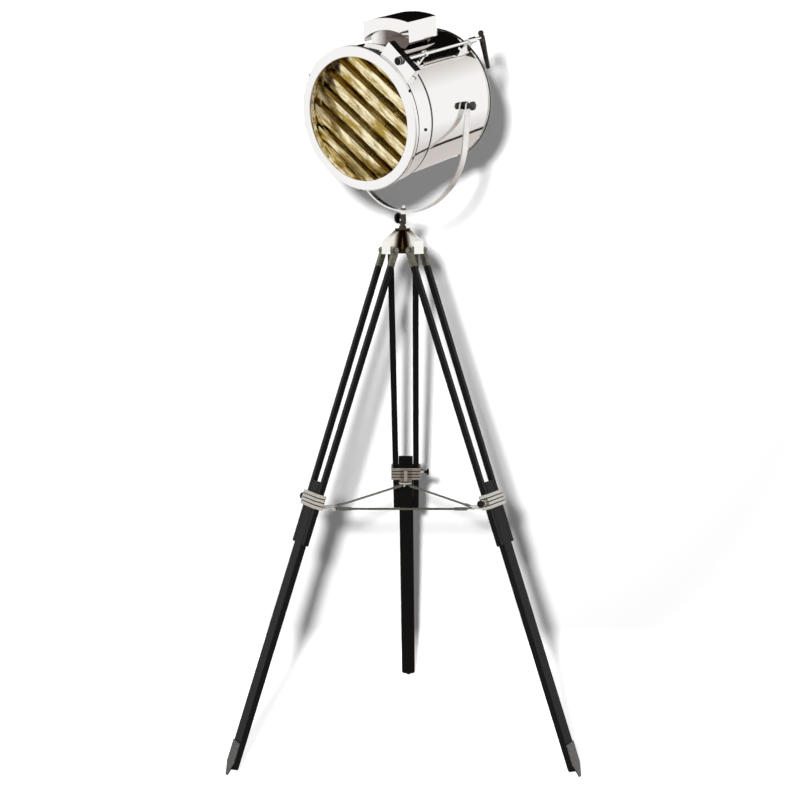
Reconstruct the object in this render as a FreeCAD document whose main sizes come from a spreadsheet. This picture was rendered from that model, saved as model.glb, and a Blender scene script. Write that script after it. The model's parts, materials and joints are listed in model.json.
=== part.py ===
import FreeCAD, Part
import math
import os
from types import SimpleNamespace

import Sketcher
from FreeCAD import Matrix, Placement, Rotation, Vector

# Tripod spotlight floor lamp, millimetres.  +Z is up and the floor is z = 0; the origin is on
# the floor, on the axis of the tripod head.  -Y is the front, where the two front legs stand.

SIZES = {
    # tripod
    "hinge_height": (1150.0, "floor to the top of a leg's centre line"),
    "hinge_radius": (34.1, "axis to the top of a leg's centre line"),
    "foot_radius": (443.3, "axis to where a leg's centre line meets the floor"),
    "bolt_out": (2.5, "hinge bolt outside the leg's centre line"),
    "bolt_radius": (3.5, "hinge bolt"),
    "cheek_length": (38.0, "metal cheeks below the hinge"),
    "cheek_round": (7.5, "rounded top of a cheek"),
    "rail_end": (688.0, "lower end of the rails, along the leg"),
    "rail_thick": (12.0, "rail through the leg"),
    "rail_wide": (14.2, "rail across the leg"),
    "leg_half_top": (35.6, "half the leg's width at the hinge"),
    "leg_half_low": (31.6, "half the leg's width at the rails' end"),
    "bar_lap": (144.0, "sliding leg inside the rails, along the leg"),
    "bar_short": (14.9, "lower end of the sliding leg above the floor, along it"),
    "bar_back": (8.0, "sliding leg behind the centre line"),
    "collar_top": (570.0, "upper edge of the clamp collar, along the leg"),
    "collar_tall": (33.0, "height of the clamp collar"),
    "collar_wall": (4.0, "side wall of the clamp collar"),
    "collar_front": (6.6, "front wall of the clamp collar"),
    "ridge": (1.2, "how far the collar's ridges stand out"),
    "screw_radius": (2.5, "clamp screw"),
    "screw_knob": (8.0, "radius of the clamp screw's knob"),
    "screw_knob_long": (14.0, "length of the clamp screw's knob"),
    "plate_long": (76.0, "foot plate above the floor, along the leg"),
    "plate_thick": (3.0, "foot plate"),
    "point_long": (28.0, "pointed end of the foot plate"),
    "point_flat": (6.0, "width of the worn tip that stands on the floor"),
    # brace
    "brace_radius": (195.0, "axis to the corner of the brace"),
    "lug_below": (5.9, "lower edge of the collar to the underside of its lug"),
    "lug_thick": (3.0, "brace lug"),
    "lug_half": (15.0, "half the width of a brace lug"),
    "lug_reach": (18.0, "brace lug inside the brace's corner"),
    "brace_step": (14.0, "corner of the brace to a rod's pin or stud"),
    "brace_rod": (2.5, "radius of a brace rod"),
    "sleeve": (3.75, "radius of a brace rod's sleeves"),
    "sleeve_long": (28.0, "length of a brace rod's sleeves"),
    "brace_pin": (1.5, "radius of a brace rod's pin"),
    "stud": (2.0, "radius of a brace stud"),
    # hub
    "hub_rise": (50.0, "leg hinges to the top of the hub"),
    "hub_flange": (17.5, "radius of the hub's top flange"),
    "hub_neck": (9.5, "radius of the hub's column under the flange"),
    "hub_belly": (15.0, "radius of the hub's column at its foot"),
    "hub_drop": (1.0, "hinges to the underside of the hub's column"),
    "arm_out": (42.8, "axis to the face of a hub arm"),
    "arm_play": (0.4, "hub arm to a cheek, on each side"),
    "arm_root": (8.0, "half the width of a hub arm at the column"),
    "arm_rise": (21.0, "hinges to the upper edge of a hub arm's face"),
    "arm_drop": (8.0, "hinges to the underside of a hub arm"),
    "pan_stem": (6.0, "radius of the swivel's stem"),
    "pan_washer": (3.0, "friction washer"),
    # swivel and knuckle
    "pin_rise": (18.4, "top of the hub to the knuckle's cross pin"),
    "socket_radius": (8.0, "outside of the swivel socket"),
    "socket_bore": (6.8, "bore of the swivel socket"),
    "socket_low": (9.4, "swivel socket below the cross pin"),
    "socket_high": (12.4, "swivel socket above the cross pin"),
    "ball": (6.5, "radius of the knuckle's ball"),
    "cross_pin": (2.0, "radius of the knuckle's cross pin"),
    "lock_lift": (4.2, "lock knob's axis above the cross pin"),
    "lock_radius": (13.5, "lock knob"),
    "lock_thick": (8.0, "lock knob"),
    "lock_gap": (1.0, "socket to the lock knob"),
    # yoke
    "yoke_gap": (6.0, "drum to the inside of the yoke"),
    "yoke_thick": (4.0, "strap of the yoke"),
    "yoke_wide": (19.0, "strap of the yoke"),
    "yoke_low": (20.0, "cross pin to the middle of the strap"),
    "yoke_arm": (88.0, "straight part of a yoke arm"),
    "stem": (3.2, "radius of the knuckle's stem"),
    "stem_top": (33.6, "top of the stem above the cross pin"),
    "flange": (8.0, "radius of the flange under the yoke"),
    "flange_thick": (2.7, "flange under the yoke"),
    "nut_thick": (4.6, "nut on the yoke"),
    "nut_across": (11.0, "nut on the yoke, across its flats"),
    "tilt_bolt": (4.0, "radius of a tilt bolt"),
    "bush": (9.0, "radius of a pivot bush"),
    "knob_radius": (10.0, "tilt knob"),
    "knob_long": (14.2, "tilt knob"),
    # drum; places along its axis are counted forward from the tilt axis
    "drum": (145.0, "outside radius of the drum"),
    "wall": (1.0, "sheet of the drum, covers, vent and shutter case"),
    "drum_back": (-97.0, "rear edge of the drum"),
    "drum_front": (176.0, "front edge of the drum"),
    "lip_out": (2.5, "how far the bead stands out of the drum"),
    "lip_wide": (9.0, "bead around the drum, along it"),
    "lip_gap": (4.0, "bead to the front band"),
    "band_out": (4.0, "how far the front band stands out of the drum"),
    "band_thick": (1.7, "sheet of the front band"),
    "band_over": (44.5, "how far the band reaches back over the drum"),
    "ring_out": (4.7, "how far the front ring stands out of the band"),
    "ring_ahead": (15.5, "front edge of the drum to the ring's face"),
    "ring_crown": (2.5, "how far the face stands out at the opening"),
    "ring_deep": (10.5, "depth of the ring's rim"),
    "ring_sheet": (2.2, "sheet of the ring's face"),
    "ring_cover": (13.4, "how far the ring reaches inside the drum's radius"),
    "rear_out": (1.4, "how far the rear cover stands out of the drum"),
    "rear_skirt": (8.5, "rear cover over the drum"),
    "rear_screw": (3.0, "rear edge of the drum to the rear cover's screws"),
    "band_screw": (24.0, "front edge of the drum to the front band's screws"),
    "dome_deep": (22.0, "how far the rear cover bulges"),
    "dome_flat": (50.0, "radius of the flat middle of the rear cover"),
    "vent_count": (12.0, "holes in the rear cover"),
    "vent_ring": (92.0, "radius of the ring of holes"),
    "vent_hole": (5.0, "radius of a hole"),
    "gland_radius": (9.0, "cable gland"),
    "gland_bore": (3.6, "cable gland"),
    "gland_drop": (70.0, "cable gland below the axis"),
    # vent on top
    "hood_front": (71.7, "front of the vent hood"),
    "hood_back": (-31.0, "back of the vent hood"),
    "hood_half": (60.8, "half the width of the vent hood"),
    "hood_low_in": (3.0, "hood's sides reach this far below the drum's top"),
    "hood_lift": (39.4, "drum's top to the upper edge of the hood's sides"),
    "hood_arch": (8.6, "rise of the hood's roof"),
    "apron_lift": (5.0, "drum's top to the ends of the hood's front and back walls"),
    "apron_arch": (18.0, "rise of the lower edge of those walls"),
    "neck_inset": (11.0, "vent neck inside the hood"),
    "neck_lift": (29.0, "drum's top to the top of the vent neck"),
    # light
    "reflector_back": (-2.0, "rear edge of the reflector"),
    "reflector_behind": (27.0, "front edge of the reflector behind the slats"),
    "reflector_hole": (24.0, "radius of the reflector's rear hole"),
    "reflector_in": (5.5, "reflector's front edge inside the drum's radius"),
    "reflector_curve": (244.0, "radius of the reflector's curve"),
    "reflector_sheet": (1.0, "reflector"),
    "holder": (20.0, "radius of the lampholder"),
    "holder_long": (44.0, "lampholder"),
    "holder_back": (-42.0, "rear end of the lampholder"),
    "bulb": (30.0, "radius of the bulb"),
    "bulb_neck": (13.0, "radius of the bulb's cap"),
    "bulb_centre": (58.0, "middle of the bulb"),
    "strap_wide": (26.0, "lampholder bracket"),
    "strap_thick": (2.0, "lampholder bracket"),
    # shutter
    "slat_turn": (37.5, "slats below the horizontal, in degrees"),
    "slat_gap": (1.0, "slat to slat when they are shut"),
    "slat_thick": (1.2, "slat"),
    "slat_behind": (11.0, "slats behind the front edge of the drum"),
    "slat_rest": (15.0, "how far the slats stand open, in degrees"),
    "end_room": (18.6, "shutter frame to the edge of an end slat"),
    "end_half": (10.75, "half the width of an end slat"),
    "frame_in": (4.4, "bore of the shutter frame inside the drum's radius"),
    "frame_half": (4.0, "rear edge of the shutter frame behind the slats"),
    "frame_deep": (9.0, "shutter frame"),
    "trunnion": (1.6, "radius of a slat's trunnions"),
    "ear_drop": (8.0, "tie bar's pins behind a slat"),
    "ear_pin": (1.2, "radius of the tie bar's pins"),
    "tie_place": (45.0, "tie bar to the right of the slats' middle"),
    "tie_thick": (2.0, "tie bar"),
    "tie_wide": (4.0, "tie bar"),
    # shutter drive
    "case_turn": (43.0, "shutter case from the top of the drum, in degrees"),
    "case_wide": (85.0, "shutter case"),
    "case_high": (10.4, "operating rod to the top of the case"),
    "case_recess": (7.5, "front of the case behind the ring's face"),
    "case_deep": (20.0, "depth of the case"),
    "rod_turn": (43.3, "operating rod from the top of the drum, in degrees"),
    "crank_gap": (3.5, "front band to the crank's reach"),
    "rod": (3.5, "radius of the operating rod"),
    "rod_nut": (8.5, "radius of the nut on the rod"),
    "lever_place": (-117.0, "hand lever behind the tilt axis"),
    "lever_thick": (6.0, "hand lever"),
    "lever_long": (65.0, "hand lever below the rod"),
    "lever_ball": (6.5, "radius of the ball on top of the lever"),
    "crank_in": (2.0, "crank inside the rear edge of the case"),
    "crank_thick": (3.0, "crank"),
    "crank_pin": (2.0, "radius of the crank pin"),
    "post_gap": (22.5, "bead to the middle of the rod post"),
    "bracket_place": (-76.5, "rod bracket behind the tilt axis"),
    "eye": (6.5, "radius of the eyes around the rod"),
    # fits
    "running": (0.05, "radial clearance of a turning fit"),
    "slack": (0.3, "gap between pieces that slide or pass"),
}

HEAD_TURN = 35.43      # degrees that the head is panned to the front left
HEAD_LEAN = 5.84       # degrees that the knuckle leans
HEAD_PITCH = 14.73     # degrees that the drum looks down
YOKE_RISE = "yoke_low + yoke_thick"
LEGS = {"rear": 90.0, "left": 210.0, "right": 330.0}
SLATS = range(-3, 4)

doc = FreeCAD.newDocument("TripodSpotlight")
sheet = doc.addObject("Spreadsheet::Sheet", "Sizes")


class Size:
    """A length or angle that knows its value and the expression it comes from."""

    def __init__(self, value, text):
        self.value = value
        self.text = text

    def join(self, sign, other, value):
        return Size(value, "(%s %s %s)" % (self.text, sign, text_of(other)))

    def __add__(self, other):
        return self.join("+", other, self.value + number(other))

    def __sub__(self, other):
        return self.join("-", other, self.value - number(other))

    def __mul__(self, other):
        return self.join("*", other, self.value * number(other))

    def __truediv__(self, other):
        return self.join("/", other, self.value / number(other))

    def __rsub__(self, other):
        return Size(other - self.value, "(%s - %s)" % (text_of(other), self.text))

    def __neg__(self):
        return Size(-self.value, "(0 - %s)" % self.text)

    __radd__ = __add__
    __rmul__ = __mul__


def number(amount):
    return amount.value if isinstance(amount, Size) else float(amount)


def text_of(amount):
    return amount.text if isinstance(amount, Size) else repr(float(amount))


def leg_of(long_side, short_side):
    """Third side of a right triangle whose longest side is given."""
    value = math.sqrt(number(long_side) ** 2 - number(short_side) ** 2)
    return Size(value, "sqrt(%s ^ 2 - %s ^ 2)" % (text_of(long_side), text_of(short_side)))


def arc_radius(half_chord, rise):
    """Radius of the arc over a chord with this rise."""
    return (half_chord * half_chord + rise * rise) / (rise * 2)


def fill_sheet():
    sizes = {}
    for row, (name, (value, note)) in enumerate(SIZES.items(), start=1):
        sheet.set("A%d" % row, name)
        sheet.set("B%d" % row, str(value))
        sheet.set("C%d" % row, note)
        sheet.setAlias("B%d" % row, name)
        sizes[name] = Size(value, "Sizes.%s" % name)
    doc.recompute()
    return SimpleNamespace(**sizes)


def slope():
    """Lean of a leg: how far it goes out for each unit that it goes down."""
    return (S.foot_radius - S.hinge_radius) / S.hinge_height


def root_of_one_plus(square):
    return Size(math.sqrt(1 + square.value), "sqrt(1 + %s)" % square.text)


def floor_along(depth):
    """How far down the leg's own line the floor is met by a face this far out."""
    lean = slope()
    return S.hinge_height * root_of_one_plus(lean * lean) + lean * depth


def follow():
    """Sizes that follow from others, so that what fits together stays together."""
    S.hub_top = S.hinge_height + S.hub_rise
    S.hub_foot = S.hinge_height - S.hub_drop
    S.arm_top = S.hinge_height + S.arm_rise
    S.arm_foot = S.hinge_height - S.arm_drop
    S.arm_half = S.leg_half_top - S.rail_wide - S.arm_play
    S.pin_height = S.hub_top + S.pin_rise
    S.bar_top = S.rail_end - S.bar_lap
    S.bar_end = floor_along(S.rail_thick / 2) - S.bar_short
    lean = slope()
    S.brace_height = (S.hinge_height - (S.collar_top + S.collar_tall)
                      / root_of_one_plus(lean * lean) - S.lug_below)
    S.yoke_half = S.drum + S.yoke_gap
    S.lip = S.drum + S.lip_out
    S.band = S.drum + S.band_out
    S.ring = S.band + S.ring_out
    S.opening = S.drum - S.ring_cover
    S.rear_rim = S.drum + S.rear_out
    S.hood_low = S.drum - S.hood_low_in
    S.hood_side = S.drum + S.hood_lift
    S.apron_low = S.drum + S.apron_lift
    S.neck_top = S.drum + S.neck_lift
    S.reflector_rim = S.drum - S.reflector_in
    S.frame_ring = S.drum - S.frame_in
    S.end_slat = S.frame_ring - S.end_room - S.end_half
    S.slat_pitch = (S.end_slat - S.end_half - S.slat_gap / 2) / 2.5
    S.slat_half = (S.slat_pitch - S.slat_gap) / 2
    S.rod_out = S.band + S.slat_half + S.crank_gap
    S.case_out = S.rod_out + S.case_high
    S.slat_place = S.drum_front - S.slat_behind
    S.frame_back = S.slat_place - S.frame_half
    S.reflector_front = S.slat_place - S.reflector_behind
    S.ring_face = S.drum_front + S.ring_ahead
    S.case_front = S.ring_face - S.case_recess
    S.case_back = S.case_front - S.case_deep
    S.crank_place = S.case_back + S.crank_in
    S.band_back = S.drum_front - S.band_over
    S.lip_front = S.band_back - S.lip_gap
    S.lip_back = S.lip_front - S.lip_wide
    S.post_place = S.lip_back - S.post_gap


S = fill_sheet()
follow()

# ---------------------------------------------------------------- making pieces

X, Y, Z = Vector(1, 0, 0), Vector(0, 1, 0), Vector(0, 0, 1)
ALONG = {"X": Rotation(Z, X), "Y": Rotation(Z, Y), "Z": Rotation()}
nodes = {}


def bind(item, **amounts):
    """Set properties; a Size becomes an expression on the sheet."""
    for name, amount in amounts.items():
        if isinstance(amount, Size):
            item.setExpression(name, amount.text)
        else:
            setattr(item, name, amount)


def shift(item, at, turn=None):
    """Place an item; each coordinate that is a Size is bound to the sheet."""
    item.Placement = Placement(Vector(*[number(c) for c in at]), turn or Rotation())
    for axis, amount in zip("xyz", at):
        if isinstance(amount, Size):
            item.setExpression("Placement.Base.%s" % axis, amount.text)


def block(x, y, z):
    """Box between two places along each axis."""
    item = doc.addObject("Part::Box", "block")
    for side, (low, high) in zip(("Length", "Width", "Height"), (x, y, z)):
        bind(item, **{side: high - low})
    shift(item, (x[0], y[0], z[0]))
    return item


def pole(radius, low, high, at=(0, 0), along="Z"):
    """Cylinder along an axis between two places on it; at is its place on the other two."""
    item = doc.addObject("Part::Cylinder", "pole")
    bind(item, Radius=radius, Height=high - low)
    place = {"X": (low, at[0], at[1]), "Y": (at[0], low, at[1]), "Z": (at[0], at[1], low)}
    shift(item, place[along], ALONG[along])
    return item


def globe(radius, at=(0, 0, 0)):
    item = doc.addObject("Part::Sphere", "globe")
    bind(item, Radius=radius)
    shift(item, at)
    return item


def joined(*items):
    if len(items) == 1:
        return items[0]
    item = doc.addObject("Part::MultiFuse", "joined")
    item.Shapes = list(items)
    return item


def less(base, *tools):
    item = doc.addObject("Part::Cut", "less")
    item.Base = base
    item.Tool = joined(*tools)
    return item


def shared(first, second):
    item = doc.addObject("Part::Common", "shared")
    item.Base = first
    item.Tool = second
    return item


def moved(item, frame):
    """A copy-free move: the item sits in a compound with this placement."""
    holder = doc.addObject("Part::Compound", "moved")
    holder.Links = [item]
    holder.Placement = frame
    return holder


def new_body(plane_name, offset=0):
    body = doc.addObject("PartDesign::Body", "body")
    sketch = body.newObject("Sketcher::SketchObject", "outline")
    plane = [f for f in body.Origin.OriginFeatures if f.Role == plane_name][0]
    sketch.AttachmentSupport = [(plane, "")]
    sketch.MapMode = "FlatFace"
    if isinstance(offset, Size):
        sketch.setExpression("AttachmentOffset.Base.z", offset.text)
    else:
        sketch.AttachmentOffset = Placement(Vector(0, 0, offset), Rotation())
    return body, sketch


def draw(sketch, points):
    """Closed outline.  A third entry makes the side after a point an arc of that radius:
    it turns left when its fourth entry is 1, right when it is -1."""
    flat = [Vector(number(p[0]), number(p[1]), 0) for p in points]
    ends = []
    for index, point in enumerate(points):
        start, stop = flat[index], flat[(index + 1) % len(flat)]
        if len(point) == 2:
            side = sketch.addGeometry(Part.LineSegment(start, stop))
            ends.append((side, 1, 2))
            continue
        radius, turn = number(point[2]), point[3]
        chord = stop - start
        normal = Vector(-chord.y, chord.x, 0).normalize() * turn
        centre = (start + stop) * 0.5 + normal * math.sqrt(radius ** 2 - chord.Length ** 2 / 4)
        first, last = (start, stop) if turn > 0 else (stop, start)
        angles = [math.atan2(v.y - centre.y, v.x - centre.x) for v in (first, last)]
        circle = Part.Circle(centre, Z, radius)
        side = sketch.addGeometry(Part.ArcOfCircle(circle, angles[0], angles[1]))
        ends.append((side, 1, 2) if turn > 0 else (side, 2, 1))
    for index, point in enumerate(points):
        side, first, last = ends[index]
        after = ends[(index + 1) % len(ends)]
        sketch.addConstraint(Sketcher.Constraint("Coincident", side, last, after[0], after[1]))
        for kind, amount, line in (("DistanceX", point[0], -2), ("DistanceY", point[1], -1)):
            if not isinstance(amount, Size) and amount == 0:
                sketch.addConstraint(Sketcher.Constraint("PointOnObject", side, first, line))
                continue
            rule = Sketcher.Constraint(kind, -1, 1, side, first, number(amount))
            hold(sketch, rule, "%s%d" % (kind, index), amount)
        if len(point) > 2:
            rule = Sketcher.Constraint("Radius", side, number(point[2]))
            hold(sketch, rule, "Radius%d" % index, point[2])


def hold(sketch, rule, name, amount):
    """Add a dimension and, where it is a Size, bind it to the sheet."""
    sketch.renameConstraint(sketch.addConstraint(rule), name)
    if isinstance(amount, Size):
        sketch.setExpression("Constraints.%s" % name, amount.text)


def turned(points):
    """Solid of revolution about local Z from an outline of (radius, height)."""
    body, sketch = new_body("XZ_Plane")
    draw(sketch, points)
    turn = body.newObject("PartDesign::Revolution", "turn")
    turn.Profile = sketch
    turn.ReferenceAxis = (sketch, ["V_Axis"])
    turn.Angle = 360
    return body


def padded(points, length, plane="XY_Plane", start=0, symmetric=False):
    body, sketch = new_body(plane, start)
    draw(sketch, points)
    pad = body.newObject("PartDesign::Pad", "pad")
    pad.Profile = sketch
    if symmetric:
        pad.SideType = "Symmetric"
    bind(pad, Length=length)
    return body


def rounded(half_x, low_y, high_y, corner):
    """Rectangle outline with round corners, from -half_x to half_x."""
    return [(half_x, low_y + corner), (half_x, high_y - corner, corner, 1),
            (half_x - corner, high_y), (corner - half_x, high_y, corner, 1),
            (-half_x, high_y - corner), (-half_x, low_y + corner, corner, 1),
            (corner - half_x, low_y), (half_x - corner, low_y, corner, 1)]


def frame(origin, along_x, along_y, along_z):
    x, y, z = along_x, along_y, along_z
    return Placement(Matrix(x.x, y.x, z.x, origin.x, x.y, y.y, z.y, origin.y,
                            x.z, y.z, z.z, origin.z, 0, 0, 0, 1))


def node(name, place, *items):
    """One named piece: a single object, or a group of like ones, in its frame."""
    item = items[0]
    if len(items) > 1 or not item.Placement.isIdentity() or item.ExpressionEngine:
        item = doc.addObject("Part::Compound", name)
        item.Links = list(items)
    item.Label = name
    item.Placement = place
    nodes[name] = item
    return item


# ---------------------------------------------------------------- frames

def head_frames():
    """Frames of the swivel, the yoke and the drum.

    Swivel: X to the right of the beam, Y backwards, Z up.  Yoke: the same after the lean.
    Drum: X to the right of the beam, Y up across it, Z along it, from the tilt axis."""
    turn = math.radians(HEAD_TURN)
    beam = Vector(-math.sin(turn), -math.cos(turn), 0)
    right = Vector(math.cos(turn), -math.sin(turn), 0)
    pin = Vector(0, 0, S.pin_height.value)
    swivel = frame(pin, right, -beam, Z)
    lean = Rotation(-beam, HEAD_LEAN)
    right, up = lean.multVec(right), lean.multVec(Z)
    yoke = frame(pin, right, -beam, up)
    pitch = math.radians(HEAD_PITCH)
    ahead = beam * math.cos(pitch) - up * math.sin(pitch)
    above = up * math.cos(pitch) + beam * math.sin(pitch)
    pivot = pin + up * number(pivot_height())
    return swivel, yoke, frame(pivot, right, above, ahead)


def pivot_height():
    """Cross pin to the tilt axis: the strap's low point, its bend and its straight arm."""
    return S.yoke_low + S.yoke_half + S.yoke_thick / 2 + S.yoke_arm - 1.1


def leg_tilt():
    return math.atan2(S.foot_radius.value - S.hinge_radius.value, S.hinge_height.value)


def compass(azimuth):
    angle = math.radians(azimuth)
    out = Vector(math.cos(angle), math.sin(angle), 0)
    return out, Vector(-out.y, out.x, 0)


def leg_frame(azimuth):
    """X across the leg, Y out of its broad face, Z down along it from the hinge."""
    out, across = compass(azimuth)
    tilt = leg_tilt()
    origin = out * S.hinge_radius.value + Z * S.hinge_height.value
    face = out * math.cos(tilt) + Z * math.sin(tilt)
    down = out * math.sin(tilt) - Z * math.cos(tilt)
    return frame(origin, across, face, down)


def corner_frame(azimuth):
    """At a corner of the brace: X outwards, Y round the tripod, Z up."""
    out, across = compass(azimuth)
    origin = out * S.brace_radius.value + Z * S.brace_height.value
    return frame(origin, out, across, Z)


def turn_about_z(degrees):
    return Placement(Vector(), Rotation(Z, degrees))


SWIVEL, YOKE, DRUM = head_frames()
SHUTTER = DRUM * turn_about_z(-S.slat_turn.value)


def radial_frame(degrees):
    """In the drum's frame: Y outwards at this angle from its top, Z along the beam."""
    return turn_about_z(-degrees)


# ---------------------------------------------------------------- tripod

def hub():
    """Turned column with a flange, and three wedge arms with a sloping back."""
    column = turned([(0, S.hub_foot), (S.hub_belly - 5, S.hub_foot, 5.0, 1),
                     (S.hub_belly, S.hub_foot + 5), (S.hub_neck, S.hub_top - 4),
                     (S.hub_flange, S.hub_top - 4), (S.hub_flange, S.hub_top), (0, S.hub_top)])
    arms = []
    for azimuth in LEGS.values():
        plan = padded([(0, -S.arm_root), (S.arm_out, -S.arm_half), (S.arm_out, S.arm_half),
                       (0, S.arm_root)], S.hub_top - S.arm_foot, start=S.arm_foot)
        side = padded([(0, S.hub_foot), (S.hub_belly, S.hub_foot),
                       (S.hub_belly + 9, S.arm_foot), (S.arm_out, S.arm_foot),
                       (S.arm_out, S.arm_top), (S.hub_neck + 4, S.hub_top - 4),
                       (0, S.hub_top - 4)], S.arm_half * 3, plane="XZ_Plane", symmetric=True)
        arms.append(moved(shared(plan, side), turn_about_z(azimuth)))
    bores = [moved(hinge_bore(S.bolt_radius + S.running), leg_frame(a)) for a in LEGS.values()]
    well = pole(S.pan_stem + S.running, S.hub_top - 32, S.hub_top + 1)
    node("hub", Placement(), less(joined(column, *arms), well, *bores))
    node("pan_washer", Placement(), less(pole(S.socket_radius + 0.5, S.hub_top,
                                              S.hub_top + S.pan_washer),
                                         pole(S.pan_stem + S.slack, S.hub_top - 1,
                                              S.hub_top + S.pan_washer + 1)))


def hinge_bore(radius):
    return pole(radius, -(S.leg_half_top + 1), S.leg_half_top + 1, (S.bolt_out, 0), "X")


def hinge_bolts():
    """Three bolts with a domed head on one end and a nut on the other."""
    bolts = []
    for azimuth in LEGS.values():
        half = S.leg_half_top
        shank = pole(S.bolt_radius, -half, half, (S.bolt_out, 0), "X")
        heads = [pole(S.bolt_radius + 2, half, half + 3.5, (S.bolt_out, 0), "X"),
                 pole(S.bolt_radius + 2, -half - 3.5, -half, (S.bolt_out, 0), "X")]
        bolts.append(moved(joined(shank, *heads), leg_frame(azimuth)))
    node("hinge_bolts", Placement(), *bolts)


def cheeks(side_name, place):
    """Two metal caps that hold the rails and turn on the hinge bolt."""
    pair = []
    for side in (-1, 1):
        inner = (S.leg_half_top - S.rail_wide) * side
        outer = S.leg_half_top * side
        low, high = (inner, outer) if side > 0 else (outer, inner)
        top = pole(S.cheek_round, low, high, (S.bolt_out, 0), "X")
        shaft = block((low, high), (-S.rail_thick / 2, S.rail_thick / 2),
                      (2.0, S.cheek_length))
        web = block((low, high), (S.bolt_out - S.cheek_round, S.bolt_out + S.cheek_round - 4),
                    (0.0, 6.0))
        hole = pole(S.bolt_radius + S.running, low - 1, high + 1, (S.bolt_out, 0), "X")
        pair.append(less(joined(top, shaft, web), hole))
    node("leg_cheeks_" + side_name, place, *pair)


def rails(side_name, place):
    """Two black wooden rails that draw together towards their lower end."""
    pair = []
    for side in (-1, 1):
        outer_top, outer_low = S.leg_half_top * side, S.leg_half_low * side
        inner_top = (S.leg_half_top - S.rail_wide) * side
        inner_low = (S.leg_half_low - S.rail_wide) * side
        corners = [(outer_top, S.cheek_length), (outer_low, S.rail_end),
                   (inner_low, S.rail_end), (inner_top, S.cheek_length)]
        pair.append(padded(corners, S.rail_thick, plane="XZ_Plane", symmetric=True))
    node("rails_" + side_name, place, *pair)


def lower_leg(side_name, place):
    """Sliding bar between the rails, with a pointed metal plate on its outer face."""
    half = S.leg_half_low - S.rail_wide - 0.1
    face = S.rail_thick / 2
    bar = padded([(-half, S.bar_top), (half, S.bar_top), (half, S.bar_end - 8, 8.0, 1),
                  (half - 8, S.bar_end), (8 - half.value, S.bar_end, 8.0, 1),
                  (-half, S.bar_end - 8)], S.bar_back + face, plane="XZ_Plane", symmetric=True)
    bar = moved(bar, Placement(Vector(0, (face.value - S.bar_back.value) / 2, 0), Rotation()))
    node("lower_leg_" + side_name, place, bar)
    tip = floor_along(face)
    plate = padded([(-half, tip - S.plate_long), (half, tip - S.plate_long),
                    (half, tip - S.point_long), (S.point_flat / 2, tip + 3),
                    (-(S.point_flat / 2), tip + 3), (-half, tip - S.point_long)],
                   S.plate_thick, plane="XZ_Plane", symmetric=True)
    plate = moved(plate, Placement(Vector(0, face.value + S.plate_thick.value / 2, 0),
                                   Rotation()))
    ground = block((-40.0, 40.0), (-40.0, 40.0), (-40.0, 0.0))
    at_foot = Placement(place.multVec(Vector(0, 0, S.bar_end.value)), Rotation())
    at_foot.Base.z = 0
    node("foot_plate_" + side_name, place,
         less(plate, moved(ground, place.inverse() * at_foot)))


def collar(side_name, azimuth, place):
    """Ridged clamp around the rails, with a boss for its screw and a lug for the brace."""
    low, high = S.collar_top, S.collar_top + S.collar_tall
    half = S.leg_half_low + 0.8
    back = S.bar_back + 0.2
    front = S.rail_thick / 2 + 0.2
    core = padded(rounded(half + S.collar_wall - S.ridge, -back - S.collar_wall + S.ridge,
                          front + S.collar_front - S.ridge, 2.5),
                  S.collar_tall, start=low)
    ridges = []
    for step in range(4):
        start = low + S.collar_tall * step / 4 + 1.2
        ridges.append(padded(rounded(half + S.collar_wall, -back - S.collar_wall,
                                     front + S.collar_front, 3.5),
                             S.collar_tall / 4 - 2.4, start=start))
    middle = S.collar_top + S.collar_tall / 2
    boss = pole(S.screw_radius + 4, -(half + S.collar_wall + 7), -half, (0, middle), "X")
    to_corner = place.inverse() * corner_frame(azimuth)
    lug = moved(brace_lug(back + S.collar_wall), to_corner)
    hollow = block((-half, half), (-back, front), (low - 40, high + 40))
    hole = pole(S.screw_radius + S.running, -(half + S.collar_wall + 8), -(half - 1),
                (0, middle), "X")
    node("collar_" + side_name, place,
         less(joined(core, boss, lug, *ridges), hollow, hole))


def brace_lug(collar_back):
    """Flat lug from the collar to the brace's corner, with ears, a pin and a stud."""
    tilt = leg_tilt()
    leg_here = (S.hinge_radius.value - S.brace_radius.value
                + (S.hinge_height.value - S.brace_height.value) * math.tan(tilt))
    reach = leg_here - number(collar_back) / math.cos(tilt)
    thick = S.lug_thick
    plate = padded([(-S.lug_reach, 5 - S.lug_half.value), (10 - S.lug_reach, -S.lug_half),
                    (reach + 6, -S.lug_half), (reach + 6, S.lug_half),
                    (10 - S.lug_reach.value, S.lug_half), (-S.lug_reach, S.lug_half - 5)], thick)
    rib = padded([(reach - 22, thick), (reach + 5, thick), (reach - 4, 26.0), (reach - 9, 26.0)],
                 8.0, plane="XZ_Plane", symmetric=True)
    ears = []
    for side in (-1, 1):
        offset = side * (3.3 + 1.0)
        ears.append(block((-3.5, 3.5), (offset - 1.0, offset + 1.0), (-(rod_drop() + 3.2), 0.5)))
    pin = pole(S.brace_pin, -5.3, 5.3, (0, -rod_drop()), "Y")
    own = moved(joined(pin, *ears), rod_frame())
    stud = moved(pole(S.stud, -2.6, 1.0), stud_frame())
    return joined(plate, rib, own, stud)


def rod_drop():
    """Underside of the lug to the middle of a brace rod."""
    return S.brace_rod + S.slack


def rod_frame():
    """In the corner's frame: X along this corner's own rod, from its pin."""
    turn = Rotation(Z, 150)
    return Placement(turn.multVec(X * S.brace_step.value), turn)


def stud_frame():
    """In the corner's frame: X along the rod that arrives here, from its stud."""
    turn = Rotation(Z, 30)
    return Placement(turn.multVec(X * -S.brace_step.value), turn)


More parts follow.
